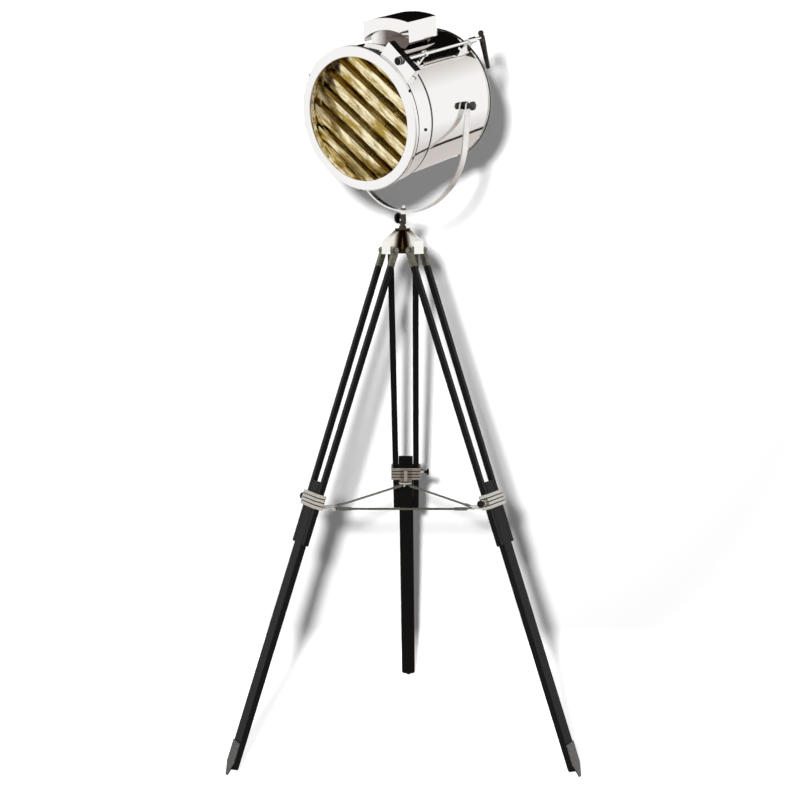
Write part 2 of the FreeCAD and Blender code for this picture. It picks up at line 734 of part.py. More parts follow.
def brace_rod(side_name, azimuth):
    """Rod from one leg's lug to the stud on the next, with a sleeve near each end."""
    span = S.brace_radius * math.sqrt(3) - S.brace_step * 2
    middle = (0, 0)
    eye = less(pole(S.brace_rod + 0.1, -3.0, 3.0, middle, "Y"),
               pole(S.brace_pin + S.running, -4.0, 4.0, middle, "Y"))
    bar = pole(S.brace_rod, 2.2, span - 8, middle, "X")
    near = pole(S.sleeve, 11.0, S.sleeve_long + 11, middle, "X")
    far = pole(S.sleeve, span - 11 - S.sleeve_long, span - 11, middle, "X")
    tongue = block((span - 12, span + 6), (-5.5, 5.5), (S.brace_rod - 2, S.brace_rod))
    slot = block((span - 4.1, span + 2.3), (-(S.stud + S.slack), S.stud + S.slack), (-4.0, 4.0))
    place = corner_frame(azimuth) * rod_frame() * Placement(Vector(0, 0, -rod_drop().value),
                                                           Rotation())
    node("brace_rod_" + side_name, place, less(joined(eye, bar, near, far, tongue), slot))


def clamp_screw(side_name, place):
    middle = S.collar_top + S.collar_tall / 2
    outer = S.leg_half_low + 0.8 + S.collar_wall + 7
    shank = pole(S.screw_radius, -(outer + 2), -(S.leg_half_low + 1), (0, middle), "X")
    knob = pole(S.screw_knob, -(outer + S.slack + S.screw_knob_long), -(outer + S.slack),
                (0, middle), "X")
    node("clamp_screw_" + side_name, place, joined(shank, knob))


def tripod():
    hub()
    hinge_bolts()
    for side_name, azimuth in LEGS.items():
        place = leg_frame(azimuth)
        cheeks(side_name, place)
        rails(side_name, place)
        lower_leg(side_name, place)
        collar(side_name, azimuth, place)
        clamp_screw(side_name, place)
        brace_rod(side_name, azimuth)


# ---------------------------------------------------------------- swivel and yoke

def swivel():
    """Stem that turns in the hub, with a socket for the knuckle's ball."""
    stem_low = S.hub_top - 31 - S.pin_height
    shoulder = S.hub_top + S.pan_washer - S.pin_height
    outline = [(0, stem_low), (S.pan_stem, stem_low), (S.pan_stem, shoulder),
               (S.socket_radius, shoulder), (S.socket_radius, shoulder + 1.6),
               (S.pan_stem, shoulder + 1.6), (S.pan_stem, -S.socket_low),
               (S.socket_radius, -S.socket_low), (S.socket_radius, S.socket_high),
               (S.socket_bore, S.socket_high), (S.socket_bore, 0, S.socket_bore, -1),
               (0, -S.socket_bore)]
    pin_hole = pole(S.cross_pin, -(S.socket_radius + 1), S.socket_radius + 1, (0, 0), "Y")
    lock_hole = pole(S.screw_radius + S.running, -(S.socket_radius + 1), 0.0,
                     (0, S.lock_lift), "X")
    node("swivel_socket", SWIVEL, less(turned(outline), pin_hole, lock_hole))
    node("cross_pin", SWIVEL, pole(S.cross_pin, -(S.socket_radius + 0.3),
                                   S.socket_radius + 0.3, (0, 0), "Y"))
    near = S.socket_radius + S.lock_gap
    lock = [pole(S.screw_radius, -near, -S.socket_bore, (0, S.lock_lift), "X"),
            pole(S.lock_radius, -(near + S.lock_thick), -near, (0, S.lock_lift), "X")]
    node("lock_knob", SWIVEL, joined(*lock))


def knuckle():
    """Ball, stem and flange in one turned piece, with its nut above the yoke."""
    under = S.yoke_low - S.yoke_thick / 2
    body = turned([(0, -S.ball, S.ball, 1), (leg_of(S.ball, S.stem), S.stem),
                   (S.stem, S.stem * 1.9), (S.stem, under - S.flange_thick),
                   (S.flange, under - S.flange_thick), (S.flange, under),
                   (S.stem, under), (S.stem, S.stem_top - S.stem, S.stem, 1),
                   (0, S.stem_top)])
    hole = pole(S.cross_pin + S.running, -8.0, 8.0, (0, 0), "Y")
    node("knuckle", YOKE, less(body, hole))
    over = S.yoke_low + S.yoke_thick / 2 + 0.15
    prism = doc.addObject("Part::Prism", "hexagon")
    prism.Polygon = 6
    bind(prism, Circumradius=S.nut_across / math.sqrt(3), Height=S.nut_thick)
    shift(prism, (0, 0, over))
    node("yoke_nut", YOKE, less(prism, pole(S.stem, over - 1, over + S.nut_thick + 1)))


def yoke():
    """Flat strap bent to a U, with round ends at the tilt axis."""
    inner, outer = S.yoke_half, S.yoke_half + S.yoke_thick
    pivot = pivot_height()
    centre = S.yoke_low - S.yoke_thick / 2 + outer
    strap = padded([(outer, pivot), (inner, pivot), (inner, centre, inner, -1),
                    (0, centre - inner, inner, -1), (-inner, centre), (-inner, pivot),
                    (-outer, pivot), (-outer, centre, outer, 1),
                    (0, centre - outer, outer, 1), (outer, centre)],
                   S.yoke_wide, plane="XZ_Plane", symmetric=True)
    ends = [pole(S.yoke_wide / 2, -outer, -inner, (0, pivot), "X"),
            pole(S.yoke_wide / 2, inner, outer, (0, pivot), "X")]
    bolt_hole = pole(S.tilt_bolt + S.running, -outer - 1, outer + 1, (0, pivot), "X")
    stem_hole = pole(S.stem, 0.0, S.stem_top)
    node("yoke", YOKE, less(joined(strap, *ends), bolt_hole, stem_hole))


def tilt_pivots():
    """Bolts through the drum's sides, bushes between drum and strap, knobs outside."""
    bushes, bolts = [], []
    outer = S.yoke_half + S.yoke_thick
    for side, side_name in ((-1, "left"), (1, "right")):
        flip = Placement(Vector(), Rotation(Z, 0 if side > 0 else 180))
        bush = less(pole(S.bush, S.drum - 3, S.yoke_half - 0.2, (0, 0), "X"),
                    pole(S.drum, -30.0, 30.0), pole(S.tilt_bolt, S.drum - 4,
                                                    S.yoke_half + 1, (0, 0), "X"))
        bushes.append(moved(bush, flip))
        inside = S.drum - S.wall - 0.2
        bolt = joined(pole(S.tilt_bolt, inside - 2, outer + S.knob_long - 2, (0, 0), "X"),
                      pole(S.tilt_bolt + 3, inside - 4, inside, (0, 0), "X"))
        bolts.append(moved(bolt, flip))
        bore = S.tilt_bolt + S.running
        end = outer + S.knob_long
        knob = turned([(bore, outer + 0.2), (S.knob_radius - 3, outer + 0.2),
                       (S.knob_radius - 3, outer + 4), (S.knob_radius, outer + 5.5),
                       (S.knob_radius, end - 2, 2.0, 1), (S.knob_radius - 2, end),
                       (0, end), (0, end - 1.5), (bore, end - 1.5)])
        aim = DRUM * flip * Placement(Vector(), ALONG["X"])
        node("tilt_knob_" + side_name, aim, knob)
    node("pivot_bushes", DRUM, *bushes)
    node("tilt_bolts", DRUM, *bolts)


# ---------------------------------------------------------------- drum

SCREWS = ([("ring", S.ring_face - S.ring_deep / 2, turn) for turn in (65.0, 185.0, 305.0)]
          + [("band", S.drum_front - S.band_screw, turn) for turn in (98.0, 218.0, 338.0)]
          + [("rear_rim", S.drum_back + S.rear_screw, turn) for turn in (30.0, 150.0, 270.0)])


def case_screw(surface, place, turn, head=True):
    """Small screw pointing out of the drum, its head on the named surface."""
    seat = getattr(S, surface)
    shank = pole(1.6, seat - 3, seat + 0.1, (0, place), "Y")
    if not head:
        return moved(shank, radial_frame(turn))
    cap = pole(3.2, seat, seat + 1.8, (0, place), "Y")
    return moved(joined(shank, cap), radial_frame(turn))


def screw_holes(surface):
    return [case_screw(*screw, head=False) for screw in SCREWS if screw[0] == surface]


def link_slot():
    """Room in the drum's walls for the tie bar's upper end."""
    depth = S.slat_place - S.ear_drop + 4
    slot = block((S.tie_place - 5, S.tie_place + 5), (S.opening, S.band + 6),
                 (depth - 21, depth))
    return moved(slot, turn_about_z(-S.slat_turn.value))


def drum_shell():
    inside = S.drum - S.wall
    tube = turned([(inside, S.drum_back), (S.drum, S.drum_back), (S.drum, S.lip_back),
                   (S.lip, S.lip_back + 1.5), (S.lip, S.lip_front - 1.5),
                   (S.drum, S.lip_front), (S.drum, S.drum_front), (inside, S.drum_front)])
    half, back, front = neck_size()
    top = block((-(half - S.wall), half - S.wall), (S.drum - 40, S.drum + 5),
                (back + S.wall, front - S.wall))
    pivots = pole(S.tilt_bolt, -S.drum - 5, S.drum + 5, (0, 0), "X")
    node("drum_shell", DRUM, less(tube, top, pivots, link_slot(), *screw_holes("rear_rim")))


def front_end():
    """Band over the front of the drum and the ring that closes it."""
    inner = S.band - S.band_thick
    top = S.ring_face - S.ring_sheet - 0.3
    band = turned([(S.drum, S.band_back), (S.band, S.band_back), (S.band, top), (inner, top),
                   (inner, S.band_back + 2.5), (S.drum, S.band_back + 2.5)])
    node("front_band", DRUM, less(band, link_slot(), *screw_holes("band")))
    edge = 3.0
    low = S.ring_face - S.ring_deep
    ring = turned([(S.opening, S.ring_face + S.ring_crown - S.ring_sheet),
                   (S.band + 0.1, S.ring_face - S.ring_sheet + 0.2), (S.band + 0.1, low),
                   (S.ring - edge, low, edge, 1), (S.ring, low + edge),
                   (S.ring, S.ring_face - edge, edge, 1), (S.ring - edge, S.ring_face),
                   (S.opening + 1, S.ring_face + S.ring_crown),
                   (S.opening, S.ring_face + S.ring_crown - 0.8)])
    node("front_ring", DRUM, less(ring, *screw_holes("ring")))


def rear_cover():
    """Domed cover with a skirt over the drum, a ring of holes and the gland's hole."""
    rim, back = S.rear_rim, S.drum_back
    seat = S.drum + 0.05
    shoulder = S.drum - 3.5
    deep = back - 5 - S.dome_deep
    bend = 300.0
    dome = turned([(seat, back + S.rear_skirt - 2.5), (seat, back - 0.2),
                   (shoulder, back - 3.2, bend, -1), (S.dome_flat, deep + S.wall),
                   (0, deep + S.wall), (0, deep), (S.dome_flat, deep, bend, 1),
                   (shoulder, back - 5), (rim, back - 2.5),
                   (rim, back + S.rear_skirt - 2.5)])
    holes = []
    for index in range(int(S.vent_count.value)):
        hole = pole(S.vent_hole, deep - 5, back + 5, (0, S.vent_ring))
        holes.append(moved(hole, turn_about_z(360.0 * (index + 0.5) / S.vent_count.value)))
    gland = pole(S.gland_radius - 2, deep - 5, back + 5, (0, -S.gland_drop))
    node("rear_cover", DRUM, less(dome, gland, *holes, *screw_holes("rear_rim")))
    cable_gland(deep)


def cable_gland(deep):
    """Threaded gland in the rear cover, with a flange on each side of the sheet."""
    tail = deep - 12
    seat = deep + 2.4
    body = turned([(S.gland_bore, tail), (S.gland_radius - 3, tail),
                   (S.gland_radius - 1, seat - 6), (S.gland_radius, seat - 6),
                   (S.gland_radius, seat - 3.2), (S.gland_radius - 2, seat - 3.2),
                   (S.gland_radius - 2, seat + 8), (S.gland_bore, seat + 8)])
    node("cable_gland", DRUM, moved(body, Placement(Vector(0, -S.gland_drop.value, 0),
                                                    Rotation())))


def case_screws():
    node("case_screws", DRUM, *[case_screw(*screw) for screw in SCREWS])


def neck_size():
    """Half width, back and front of the vent neck."""
    return (S.hood_half - S.neck_inset, S.hood_back + S.neck_inset,
            S.hood_front - S.neck_inset)


def vent():
    """Duct from the drum's top with two ribs that carry the hood."""
    half, back, front = neck_size()
    roof = arc_radius(S.hood_half, S.hood_arch)
    centre = S.hood_side + S.hood_arch - roof
    duct = less(block((-half, half), (S.drum - 30, S.neck_top), (back, front)),
                block((-(half - S.wall), half - S.wall), (S.drum - 31, S.neck_top + 1),
                      (back + S.wall, front - S.wall)))
    ribs = []
    for share in (0.2, 0.8):
        place = back + (front - back) * share
        slab = block((-half, half), (S.drum + 2, S.hood_side + 20), (place, place + S.wall))
        ribs.append(shared(slab, pole(roof - S.wall, back, front, (0, centre))))
    inside_drum = pole(S.drum, back - 5, front + 5)
    node("vent_neck", DRUM, less(joined(duct, *ribs), inside_drum))

    inner = S.hood_half - S.wall
    inner_side = centre + leg_of(roof - S.wall, inner)
    channel = padded([(-S.hood_half, S.hood_low), (-inner, S.hood_low),
                      (-inner, inner_side, roof - S.wall, -1), (inner, inner_side),
                      (inner, S.hood_low), (S.hood_half, S.hood_low),
                      (S.hood_half, S.hood_side, roof, 1), (-S.hood_half, S.hood_side)],
                     S.hood_front - S.hood_back, start=S.hood_back)
    bend = arc_radius(inner, S.apron_arch)
    walls = []
    for start in (S.hood_back, S.hood_front - S.wall):
        walls.append(padded([(-inner, S.apron_low, bend, -1), (inner, S.apron_low),
                             (inner, inner_side, roof - S.wall, 1), (-inner, inner_side)],
                            S.wall, start=start))
    node("vent_hood", DRUM, joined(channel, *walls))


# ---------------------------------------------------------------- light

def light():
    """Gold reflector, lampholder on its bracket, and the bulb."""
    sheet_thick = S.reflector_sheet
    curve = S.reflector_curve
    rim, edge = S.reflector_rim, S.drum - S.wall - 0.1
    node("reflector", DRUM, turned([
        (S.reflector_hole, S.reflector_back, curve, 1), (rim, S.reflector_front),
        (edge, S.reflector_front), (edge, S.reflector_front + sheet_thick),
        (rim - sheet_thick, S.reflector_front + sheet_thick, curve - sheet_thick, -1),
        (S.reflector_hole, S.reflector_back + sheet_thick * 1.2)]))
    back = S.holder_back
    half = S.strap_wide / 2
    reach = leg_of(S.drum - S.wall, half)
    strap = block((-reach, reach), (-half, half), (back - S.strap_thick, back))
    tabs = [block((-reach, S.strap_thick - reach.value), (-half, half), (back - 1, back + 18)),
            block((reach - S.strap_thick, reach), (-half, half), (back - 1, back + 18))]
    node("socket_bracket", DRUM, joined(strap, *tabs))
    top = back + S.holder_long
    cap = S.bulb_neck + S.slack
    node("lampholder", DRUM, turned([
        (0, back), (S.holder, back), (S.holder, back + 12), (S.holder - 3, back + 14),
        (S.holder - 3, top), (cap, top), (cap, back + 12), (0, back + 12)]))
    low = back + 12 + S.slack
    waist = S.bulb_centre - leg_of(S.bulb, S.bulb_neck)
    node("bulb", DRUM, turned([
        (0, low), (S.bulb_neck, low), (S.bulb_neck, waist, S.bulb, 1),
        (S.bulb, S.bulb_centre, S.bulb, 1), (0, S.bulb_centre + S.bulb)]))


# ---------------------------------------------------------------- shutter

def slat_middle(index):
    if abs(index) == 3:
        return S.end_slat * (index // 3)
    return S.slat_pitch * index


def slat_half(index):
    return S.end_half if abs(index) == 3 else S.slat_half


def slat_frame(index):
    """X along the slat, Y across it, Z out of its front, at its trunnions."""
    middle = Vector(0, number(slat_middle(index)), S.slat_place.value)
    return SHUTTER * Placement(middle, Rotation(X, S.slat_rest.value))


def shutter_slat(index):
    """Round-ended slat with a trunnion at each end and an ear for the tie bar."""
    middle, half, thick = slat_middle(index), slat_half(index), S.slat_thick / 2
    disc = S.frame_ring - 0.8
    reach = leg_of(disc, middle)
    out = -1 if index < 0 else 1
    inner = reach + half * (middle * out) * 0.45 / reach
    blade = padded([(reach, 0), (reach, half * out), (-reach, half * out), (-reach, 0),
                    (-inner, -half * out), (inner, -half * out)], S.slat_thick,
                   symmetric=True)
    blade = shared(blade, pole(disc, -5.0, 5.0, (0, -middle)))
    end = leg_of(S.drum - S.wall - 0.7, middle * out + S.trunnion)
    pins = [pole(S.trunnion, -end, -(reach - 6), (0, 0), "X"),
            pole(S.trunnion, reach - 6, end, (0, 0), "X")]
    low, drop = S.slat_half, S.ear_drop
    side = S.tie_place + S.tie_thick / 2 + 0.2
    ear = padded([(-(half - 1), -thick * 0.5), (-(half - 7), -thick * 0.5),
                  (-(low - 2.4), -(drop + 0.4)), (-(low - 1), -(drop + 2)),
                  (-(low + 1), -(drop + 2)), (-(low + 2), -(drop - 1))],
                 1.5, plane="YZ_Plane", start=side)
    pin = pole(S.ear_pin, side - S.tie_thick - 0.6, side + 1, (-low, -drop), "X")
    node("slat_%d" % (index + 4), slat_frame(index), joined(blade, ear, pin, *pins))


def tie_rest():
    """Where the tie bar's pins lie from the slats' trunnions at rest: across, along."""
    open_now = math.radians(S.slat_rest.value)
    across = (-S.slat_half.value * math.cos(open_now) + S.ear_drop.value * math.sin(open_now))
    along = (-S.slat_half.value * math.sin(open_now) - S.ear_drop.value * math.cos(open_now))
    return across, along


def tie_bar():
    """Strip behind the slats; its upper end has a slotted foot for the crank pin."""
    across, along = tie_rest()
    level = S.slat_place + along
    low = -S.end_slat + across - 3.5
    top = crank_rest()[1]
    side = (S.tie_place - S.tie_thick / 2, S.tie_place + S.tie_thick / 2)
    strip = block(side, (low, top), (level - S.tie_wide / 2, level + S.tie_wide / 2))
    gap = S.crank_pin + S.slack
    near = rod_place()[0] + S.ear_drop - gap
    far = rod_place()[0] + math.hypot(S.slat_half.value, S.ear_drop.value) + gap
    foot = block((near - 1.6, S.tie_place + 2), (top - gap - 1.5, top + gap + 1.5),
                 (level - 1, level + 1))
    slot = block((near, far), (top - gap, top + gap), (level - 5, level + 5))
    holes = [pole(S.ear_pin + S.running, S.tie_place - 5, S.tie_place + 5,
                  (slat_middle(index) + across, level), "X") for index in SLATS]
    node("tie_bar", SHUTTER, less(joined(strip, foot), slot, *holes))


def shutter_frame():
    """Ring that holds the trunnions, closed above and below the end slats."""
    back = S.frame_back
    outer = S.drum - S.wall - 0.2
    tube = less(pole(outer, back, back + S.frame_deep),
                pole(S.frame_ring, back - 1, back + S.frame_deep + 1))
    edge = S.end_slat + S.end_half + 0.8
    fills = []
    for low, high in ((edge, outer), (-outer, -edge)):
        slab = block((-outer, outer), (low, high), (S.slat_place - 0.8, S.slat_place + 0.8))
        fills.append(shared(slab, pole(S.frame_ring + 0.5, back, back + S.frame_deep)))
    bores = [pole(S.trunnion + S.running, -outer - 1, outer + 1,
                  (slat_middle(index), S.slat_place), "X") for index in SLATS]
    node("shutter_frame", SHUTTER, less(joined(tube, *fills), *bores))


def rod_place():
    """The operating rod in the shutter's frame: along the slats, across them."""
    turn = math.radians(S.rod_turn.value - S.slat_turn.value)
    return S.rod_out.value * math.sin(turn), S.rod_out.value * math.cos(turn)


def crank_rest():
    """The crank pin at rest in the shutter's frame: the crank stands to the rod as an ear
    stands to its trunnion, so lever and slats turn through the same angle."""
    along, across = rod_place()
    ear_across, ear_along = tie_rest()
    return along - ear_along, across + ear_across


def shutter_case():
    """Open-backed box over the crank, standing on the front band."""
    half = S.case_wide / 2
    outer = block((-half, half), (S.opening, S.case_out), (S.case_back, S.case_front))
    inner = block((S.wall - half.value, half - S.wall), (S.opening - 1, S.case_out - S.wall),
                  (S.case_back - 1, S.case_front - S.wall))
    under = pole(S.ring + S.slack, S.ring_face - S.ring_deep - S.slack, S.ring_face + 5)
    turn = math.radians(S.rod_turn.value - S.case_turn.value)
    offset = (S.rod_out.value * math.sin(turn), S.rod_out.value * math.cos(turn))
    hole = pole(S.rod + S.running, S.case_front - 5, S.case_front + 5, offset)
    place = DRUM * radial_frame(S.case_turn.value)
    node("shutter_case", place, less(outer, inner, pole(S.band, S.case_back - 5,
                                                       S.case_front + 5), under, hole))


def operating_rod():
    """Rod with the crank and its pin, and a nut on its front end."""
    along, across = rod_place()
    pin_along, pin_across = crank_rest()
    reach = math.hypot(pin_along - along, pin_across - across)
    turn = math.degrees(math.atan2(pin_across - across, pin_along - along))
    front = S.case_front + 0.3
    bar = pole(S.rod, S.lever_place + S.lever_thick / 2, front + 9)
    nut = pole(S.rod_nut, front, front + 7)
    low, high = S.crank_place, S.crank_place + S.crank_thick
    arm = joined(block((0.0, reach), (-4.0, 4.0), (low, high)), pole(6.5, low, high),
                 pole(4.0, low, high, (reach, 0)),
                 pole(S.crank_pin, low - 25, low + 1, (reach, 0)))
    node("operating_rod", SHUTTER * Placement(Vector(along, across, 0), Rotation(Z, turn)),
         joined(bar, nut, arm))


def hand_lever():
    """Tapered lever on the rod's rear end, with a ball above the rod."""
    thick = S.lever_thick
    back = S.lever_place - thick / 2
    blade = joined(padded([(-6.5, 0), (-3.5, -S.lever_long), (3.5, -S.lever_long), (6.5, 0)],
                          thick, start=back),
                   pole(6.5, back, back + thick),
                   pole(3.5, back, back + thick, (0, -S.lever_long)))
    ball = globe(S.lever_ball, (0, S.lever_ball + 3, S.lever_place))
    turn = math.radians(S.rod_turn.value)
    axis = Vector(S.rod_out.value * math.sin(turn), S.rod_out.value * math.cos(turn), 0)
    lean = Rotation(Z, 11.0)
    node("hand_lever", DRUM * Placement(axis, lean), joined(blade, ball))


def rod_supports():
    """Post and bracket that carry the rod outside the drum, each on its own foot."""
    pieces = []
    for place, half, foot in ((S.post_place, 4.0, 9.0), (S.bracket_place, 13.0, 14.0)):
        eye = pole(S.eye, place - half, place + half, (0, S.rod_out))
        web = block((-2.5, 2.5), (S.drum - 6, S.rod_out), (place - half, place + half))
        sole = block((-9.0, 9.0), (S.drum - 6, S.drum + 2.5), (place - foot, place + foot))
        pieces.append(less(joined(eye, web, sole), pole(S.drum, place - 40, place + 40),
                           pole(S.rod + S.running, place - 40, place + 40, (0, S.rod_out))))
    node("rod_supports", DRUM * radial_frame(S.rod_turn.value), *pieces)


def head():
    drum_shell()
    front_end()
    rear_cover()
    case_screws()
    vent()
    light()
    tilt_pivots()
    shutter_frame()
    for index in SLATS:
        shutter_slat(index)
    tie_bar()
    shutter_case()
    operating_rod()
    hand_lever()
    rod_supports()


# ---------------------------------------------------------------- checks and export

def check():
    """Stop if any object failed or any piece isn't one or more valid solids."""
    for item in doc.Objects:
        if "Invalid" in item.State or "Error" in item.State:
            raise RuntimeError("%s failed: %s" % (item.Label, item.State))
    for name, item in nodes.items():
        shape = item.Shape
        if shape.isNull() or not shape.isValid() or not shape.Solids:
            raise RuntimeError("%s has no valid solid" % name)
        if not all(solid.Volume > 0 for solid in shape.Solids):
            raise RuntimeError("%s has an empty solid" % name)


def export():
    os.makedirs("parts", exist_ok=True)
    for name, item in nodes.items():
        item.Shape.exportStep(os.path.join("parts", name + ".step"))
        print("%-22s %2d solids %10.0f mm3" % (name, len(item.Shape.Solids), item.Shape.Volume))
    print(len(nodes), "nodes")


tripod()
swivel()
knuckle()
yoke()
head()
doc.recompute()
check()
export()
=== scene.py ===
import json
import math

import bpy
import bmesh
from mathutils import Matrix, Quaternion, Vector


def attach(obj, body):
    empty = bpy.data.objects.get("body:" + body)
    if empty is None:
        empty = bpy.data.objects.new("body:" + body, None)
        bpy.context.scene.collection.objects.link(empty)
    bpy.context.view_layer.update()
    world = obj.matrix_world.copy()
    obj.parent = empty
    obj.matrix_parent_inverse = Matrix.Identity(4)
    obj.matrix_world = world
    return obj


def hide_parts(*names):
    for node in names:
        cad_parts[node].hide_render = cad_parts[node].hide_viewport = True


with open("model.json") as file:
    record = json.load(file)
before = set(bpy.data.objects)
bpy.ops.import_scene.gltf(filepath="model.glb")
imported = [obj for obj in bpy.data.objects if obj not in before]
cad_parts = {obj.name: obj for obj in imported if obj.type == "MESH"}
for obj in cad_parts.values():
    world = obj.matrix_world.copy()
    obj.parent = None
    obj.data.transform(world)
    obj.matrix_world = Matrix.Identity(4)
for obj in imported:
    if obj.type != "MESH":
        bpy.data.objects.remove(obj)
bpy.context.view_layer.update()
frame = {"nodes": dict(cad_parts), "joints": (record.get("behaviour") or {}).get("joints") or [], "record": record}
nodes = frame["nodes"]
joints = {joint["name"]: joint for joint in frame["joints"]}
print("frame loaded:", len(nodes), "CAD pieces")


def hexColour(code):
    # sRGB hex to the linear values that shaders want
    parts = [int(code.lstrip("#")[i:i + 2], 16) / 255 for i in (0, 2, 4)]
    linear = [c / 12.92 if c <= 0.04045 else ((c + 0.055) / 1.055) ** 2.4 for c in parts]
    return (*linear, 1.0)


def addNode(tree, kind, settings=None, **links):
    # settings: property name, input name or input number -> value
    # links: input name, or n0, n1 for an input number -> the output it takes
    node = tree.nodes.new(kind)
    for key, value in (settings or {}).items():
        if isinstance(key, int) or key in node.inputs:
            node.inputs[key].default_value = value
        else:
            setattr(node, key, value)
    for key, source in links.items():
        byNumber = key[0] == "n" and key[1:].isdigit()
        slot = node.inputs[int(key[1:]) if byNumber else key]
        tree.links.new(source, slot)
    return node


def emptyMaterial(name):
    material = bpy.data.materials.new(name)
    material.use_nodes = True
    material.node_tree.nodes.clear()
    return material, material.node_tree


def newSurface(name, settings):
    # also gives the place on the object, in metres, that every pattern is laid out on
    material, tree = emptyMaterial(name)
    shader = addNode(tree, "ShaderNodeBsdfPrincipled", settings)
    addNode(tree, "ShaderNodeOutputMaterial", None, Surface=shader.outputs["BSDF"])
    place = addNode(tree, "ShaderNodeTexCoord").outputs["Object"]
    return material, tree, shader, place


def paintBetween(tree, shader, amount, low, high, start=0.35, end=0.7):
    # base colour runs from one tint to the other while the amount goes from start to end
    ramp = addNode(tree, "ShaderNodeMapRange", {"From Min": start, "From Max": end}, Value=amount)
    mix = addNode(tree, "ShaderNodeMix",   # its inputs 6 and 7 and its output 2 are colours
                  {"data_type": "RGBA", 6: hexColour(low), 7: hexColour(high)},
                  n0=ramp.outputs["Result"])
    tree.links.new(mix.outputs[2], shader.inputs["Base Color"])


def roughBetween(tree, shader, amount, low, high):
    rough = addNode(tree, "ShaderNodeMapRange", {"To Min": low, "To Max": high}, Value=amount)
    tree.links.new(rough.outputs["Result"], shader.inputs["Roughness"])


def bumpFrom(tree, shader, amount, liftMm, strength=1.0):
    bump = addNode(tree, "ShaderNodeBump", {"Strength": strength, "Distance": liftMm / 1000},
                   Height=amount)
    tree.links.new(bump.outputs["Normal"], shader.inputs["Normal"])


def jointPoint(name):
    return Vector(joints[name]["pos_m"])


def jointAxis(name):
    return Vector(joints[name]["axis"]).normalized()


def axesMatrix(origin, x, y, z):
    return Matrix(((x.x, y.x, z.x, origin.x), (x.y, y.y, z.y, origin.y),
                   (x.z, y.z, z.z, origin.z), (0, 0, 0, 1)))


def finishMesh(name, bm, place, body, material, smooth=40.0):
    # smooth: edges sharper than this, in degrees, stay crisp
    mesh = bpy.data.meshes.new(name)
    bmesh.ops.remove_doubles(bm, verts=bm.verts, dist=1e-6)
    bmesh.ops.recalc_face_normals(bm, faces=bm.faces)
    bm.to_mesh(mesh)
    bm.free()
    mesh.transform(place)
    piece = bpy.data.objects.new(name, mesh)
    bpy.context.scene.collection.objects.link(piece)
    mesh.materials.append(material)
    mesh.polygons.foreach_set("use_smooth", [True] * len(mesh.polygons))
    mesh.set_sharp_from_angle(angle=math.radians(smooth))
    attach(piece, body)
    return piece


def skin(bm, rings):
    # faces between each ring of points and the next
    for low, high in zip(rings, rings[1:]):
        for i in range(len(low)):
            j = (i + 1) % len(low)
            bm.faces.new((low[i], low[j], high[j], high[i]))


def lathe(bm, outline, segments, wobble=None, closed=False):
    # outline: (radius, height) points in millimetres, turned about local Z
    rings = []
    for radius, height in outline:
        ring = []
        for step in range(segments):
            angle = 2 * math.pi * step / segments
            r = radius * (wobble(angle, height) if wobble else 1.0)
            ring.append(bm.verts.new((r * math.cos(angle) / 1000, r * math.sin(angle) / 1000,
                                      height / 1000)))
        rings.append(ring)
    if closed:
        rings.append(rings[0])
    else:
        bm.faces.new(rings[0])
        bm.faces.new(rings[-1])
    skin(bm, rings)


pointsPerRidge = 4


def ridged(count, lift, low=-math.inf, high=math.inf):
    # wobble for a lathe: rounded ridges round the grip, between two heights
    return lambda angle, height: 1.0 + (lift * abs(math.sin(angle * count / 2))
                                        if low < height < high else 0.0)


def tube(bm, points, radius, segments=8):
    # round wire along points in millimetres
    path = [Vector(p) / 1000 for p in points]
    rings = []
    side = None
    for i, point in enumerate(path):
        ahead = (path[min(i + 1, len(path) - 1)] - path[max(i - 1, 0)]).normalized()
        if side is None:
            side = ahead.orthogonal().normalized()
        side = (side - ahead * side.dot(ahead)).normalized()
        other = ahead.cross(side)
        rings.append([bm.verts.new(point + (side * math.cos(a) + other * math.sin(a))
                                   * radius / 1000)
                      for a in [2 * math.pi * k / segments for k in range(segments)]])
    skin(bm, rings)
    bm.faces.new(rings[0])
    bm.faces.new(rings[-1])


# drum: right, up and along the beam from the tilt point; rod: the same axes round the rod
headRight = jointAxis("head_tilt")
beam = jointAxis("shutter_lever")
headUp = beam.cross(headRight).normalized()
tiltPoint = jointPoint("head_tilt")
drumFrame = axesMatrix(tiltPoint, headRight, headUp, beam)
rodPoint = jointPoint("shutter_lever")
rodFrame = axesMatrix(rodPoint - beam * beam.dot(rodPoint - tiltPoint), headRight, headUp, beam)
slatAlong = jointAxis("slat_4_turn")
slatAcross = beam.cross(slatAlong).normalized()

# leg: across, outward and down the leg from its hinge
slideBelowHinge = 0.544   # metres along the leg
legFrames = {}
for legSide in ("rear", "left", "right"):
    down = -jointAxis("leg_slide_" + legSide)
    across = jointAxis("leg_fold_" + legSide)
    hinge = jointPoint("leg_slide_" + legSide) - down * slideBelowHinge
    legFrames[legSide] = axesMatrix(hinge, across, down.cross(across).normalized(), down)


def polishedStainless():
    # stainless sheet, mirror polished: faint rolling waves bend what it reflects
    look = {"tint": "#F4F3F1", "roughness": (0.021, 0.085), "waveMm": 85, "waveLiftMm": 0.35,
            "smearMm": 9}
    material, tree, shader, place = newSurface("polishedStainless", {
        "Base Color": hexColour(look["tint"]), "Metallic": 1.0})
    wave = addNode(tree, "ShaderNodeTexNoise", {"Scale": 1000 / look["waveMm"], "Detail": 1.0},
                   Vector=place)
    bumpFrom(tree, shader, wave.outputs["Fac"], look["waveLiftMm"])
    smear = addNode(tree, "ShaderNodeTexNoise", {"Scale": 1000 / look["smearMm"], "Detail": 6.0},
                    Vector=place)
    roughBetween(tree, shader, smear.outputs["Fac"], *look["roughness"])
    return material


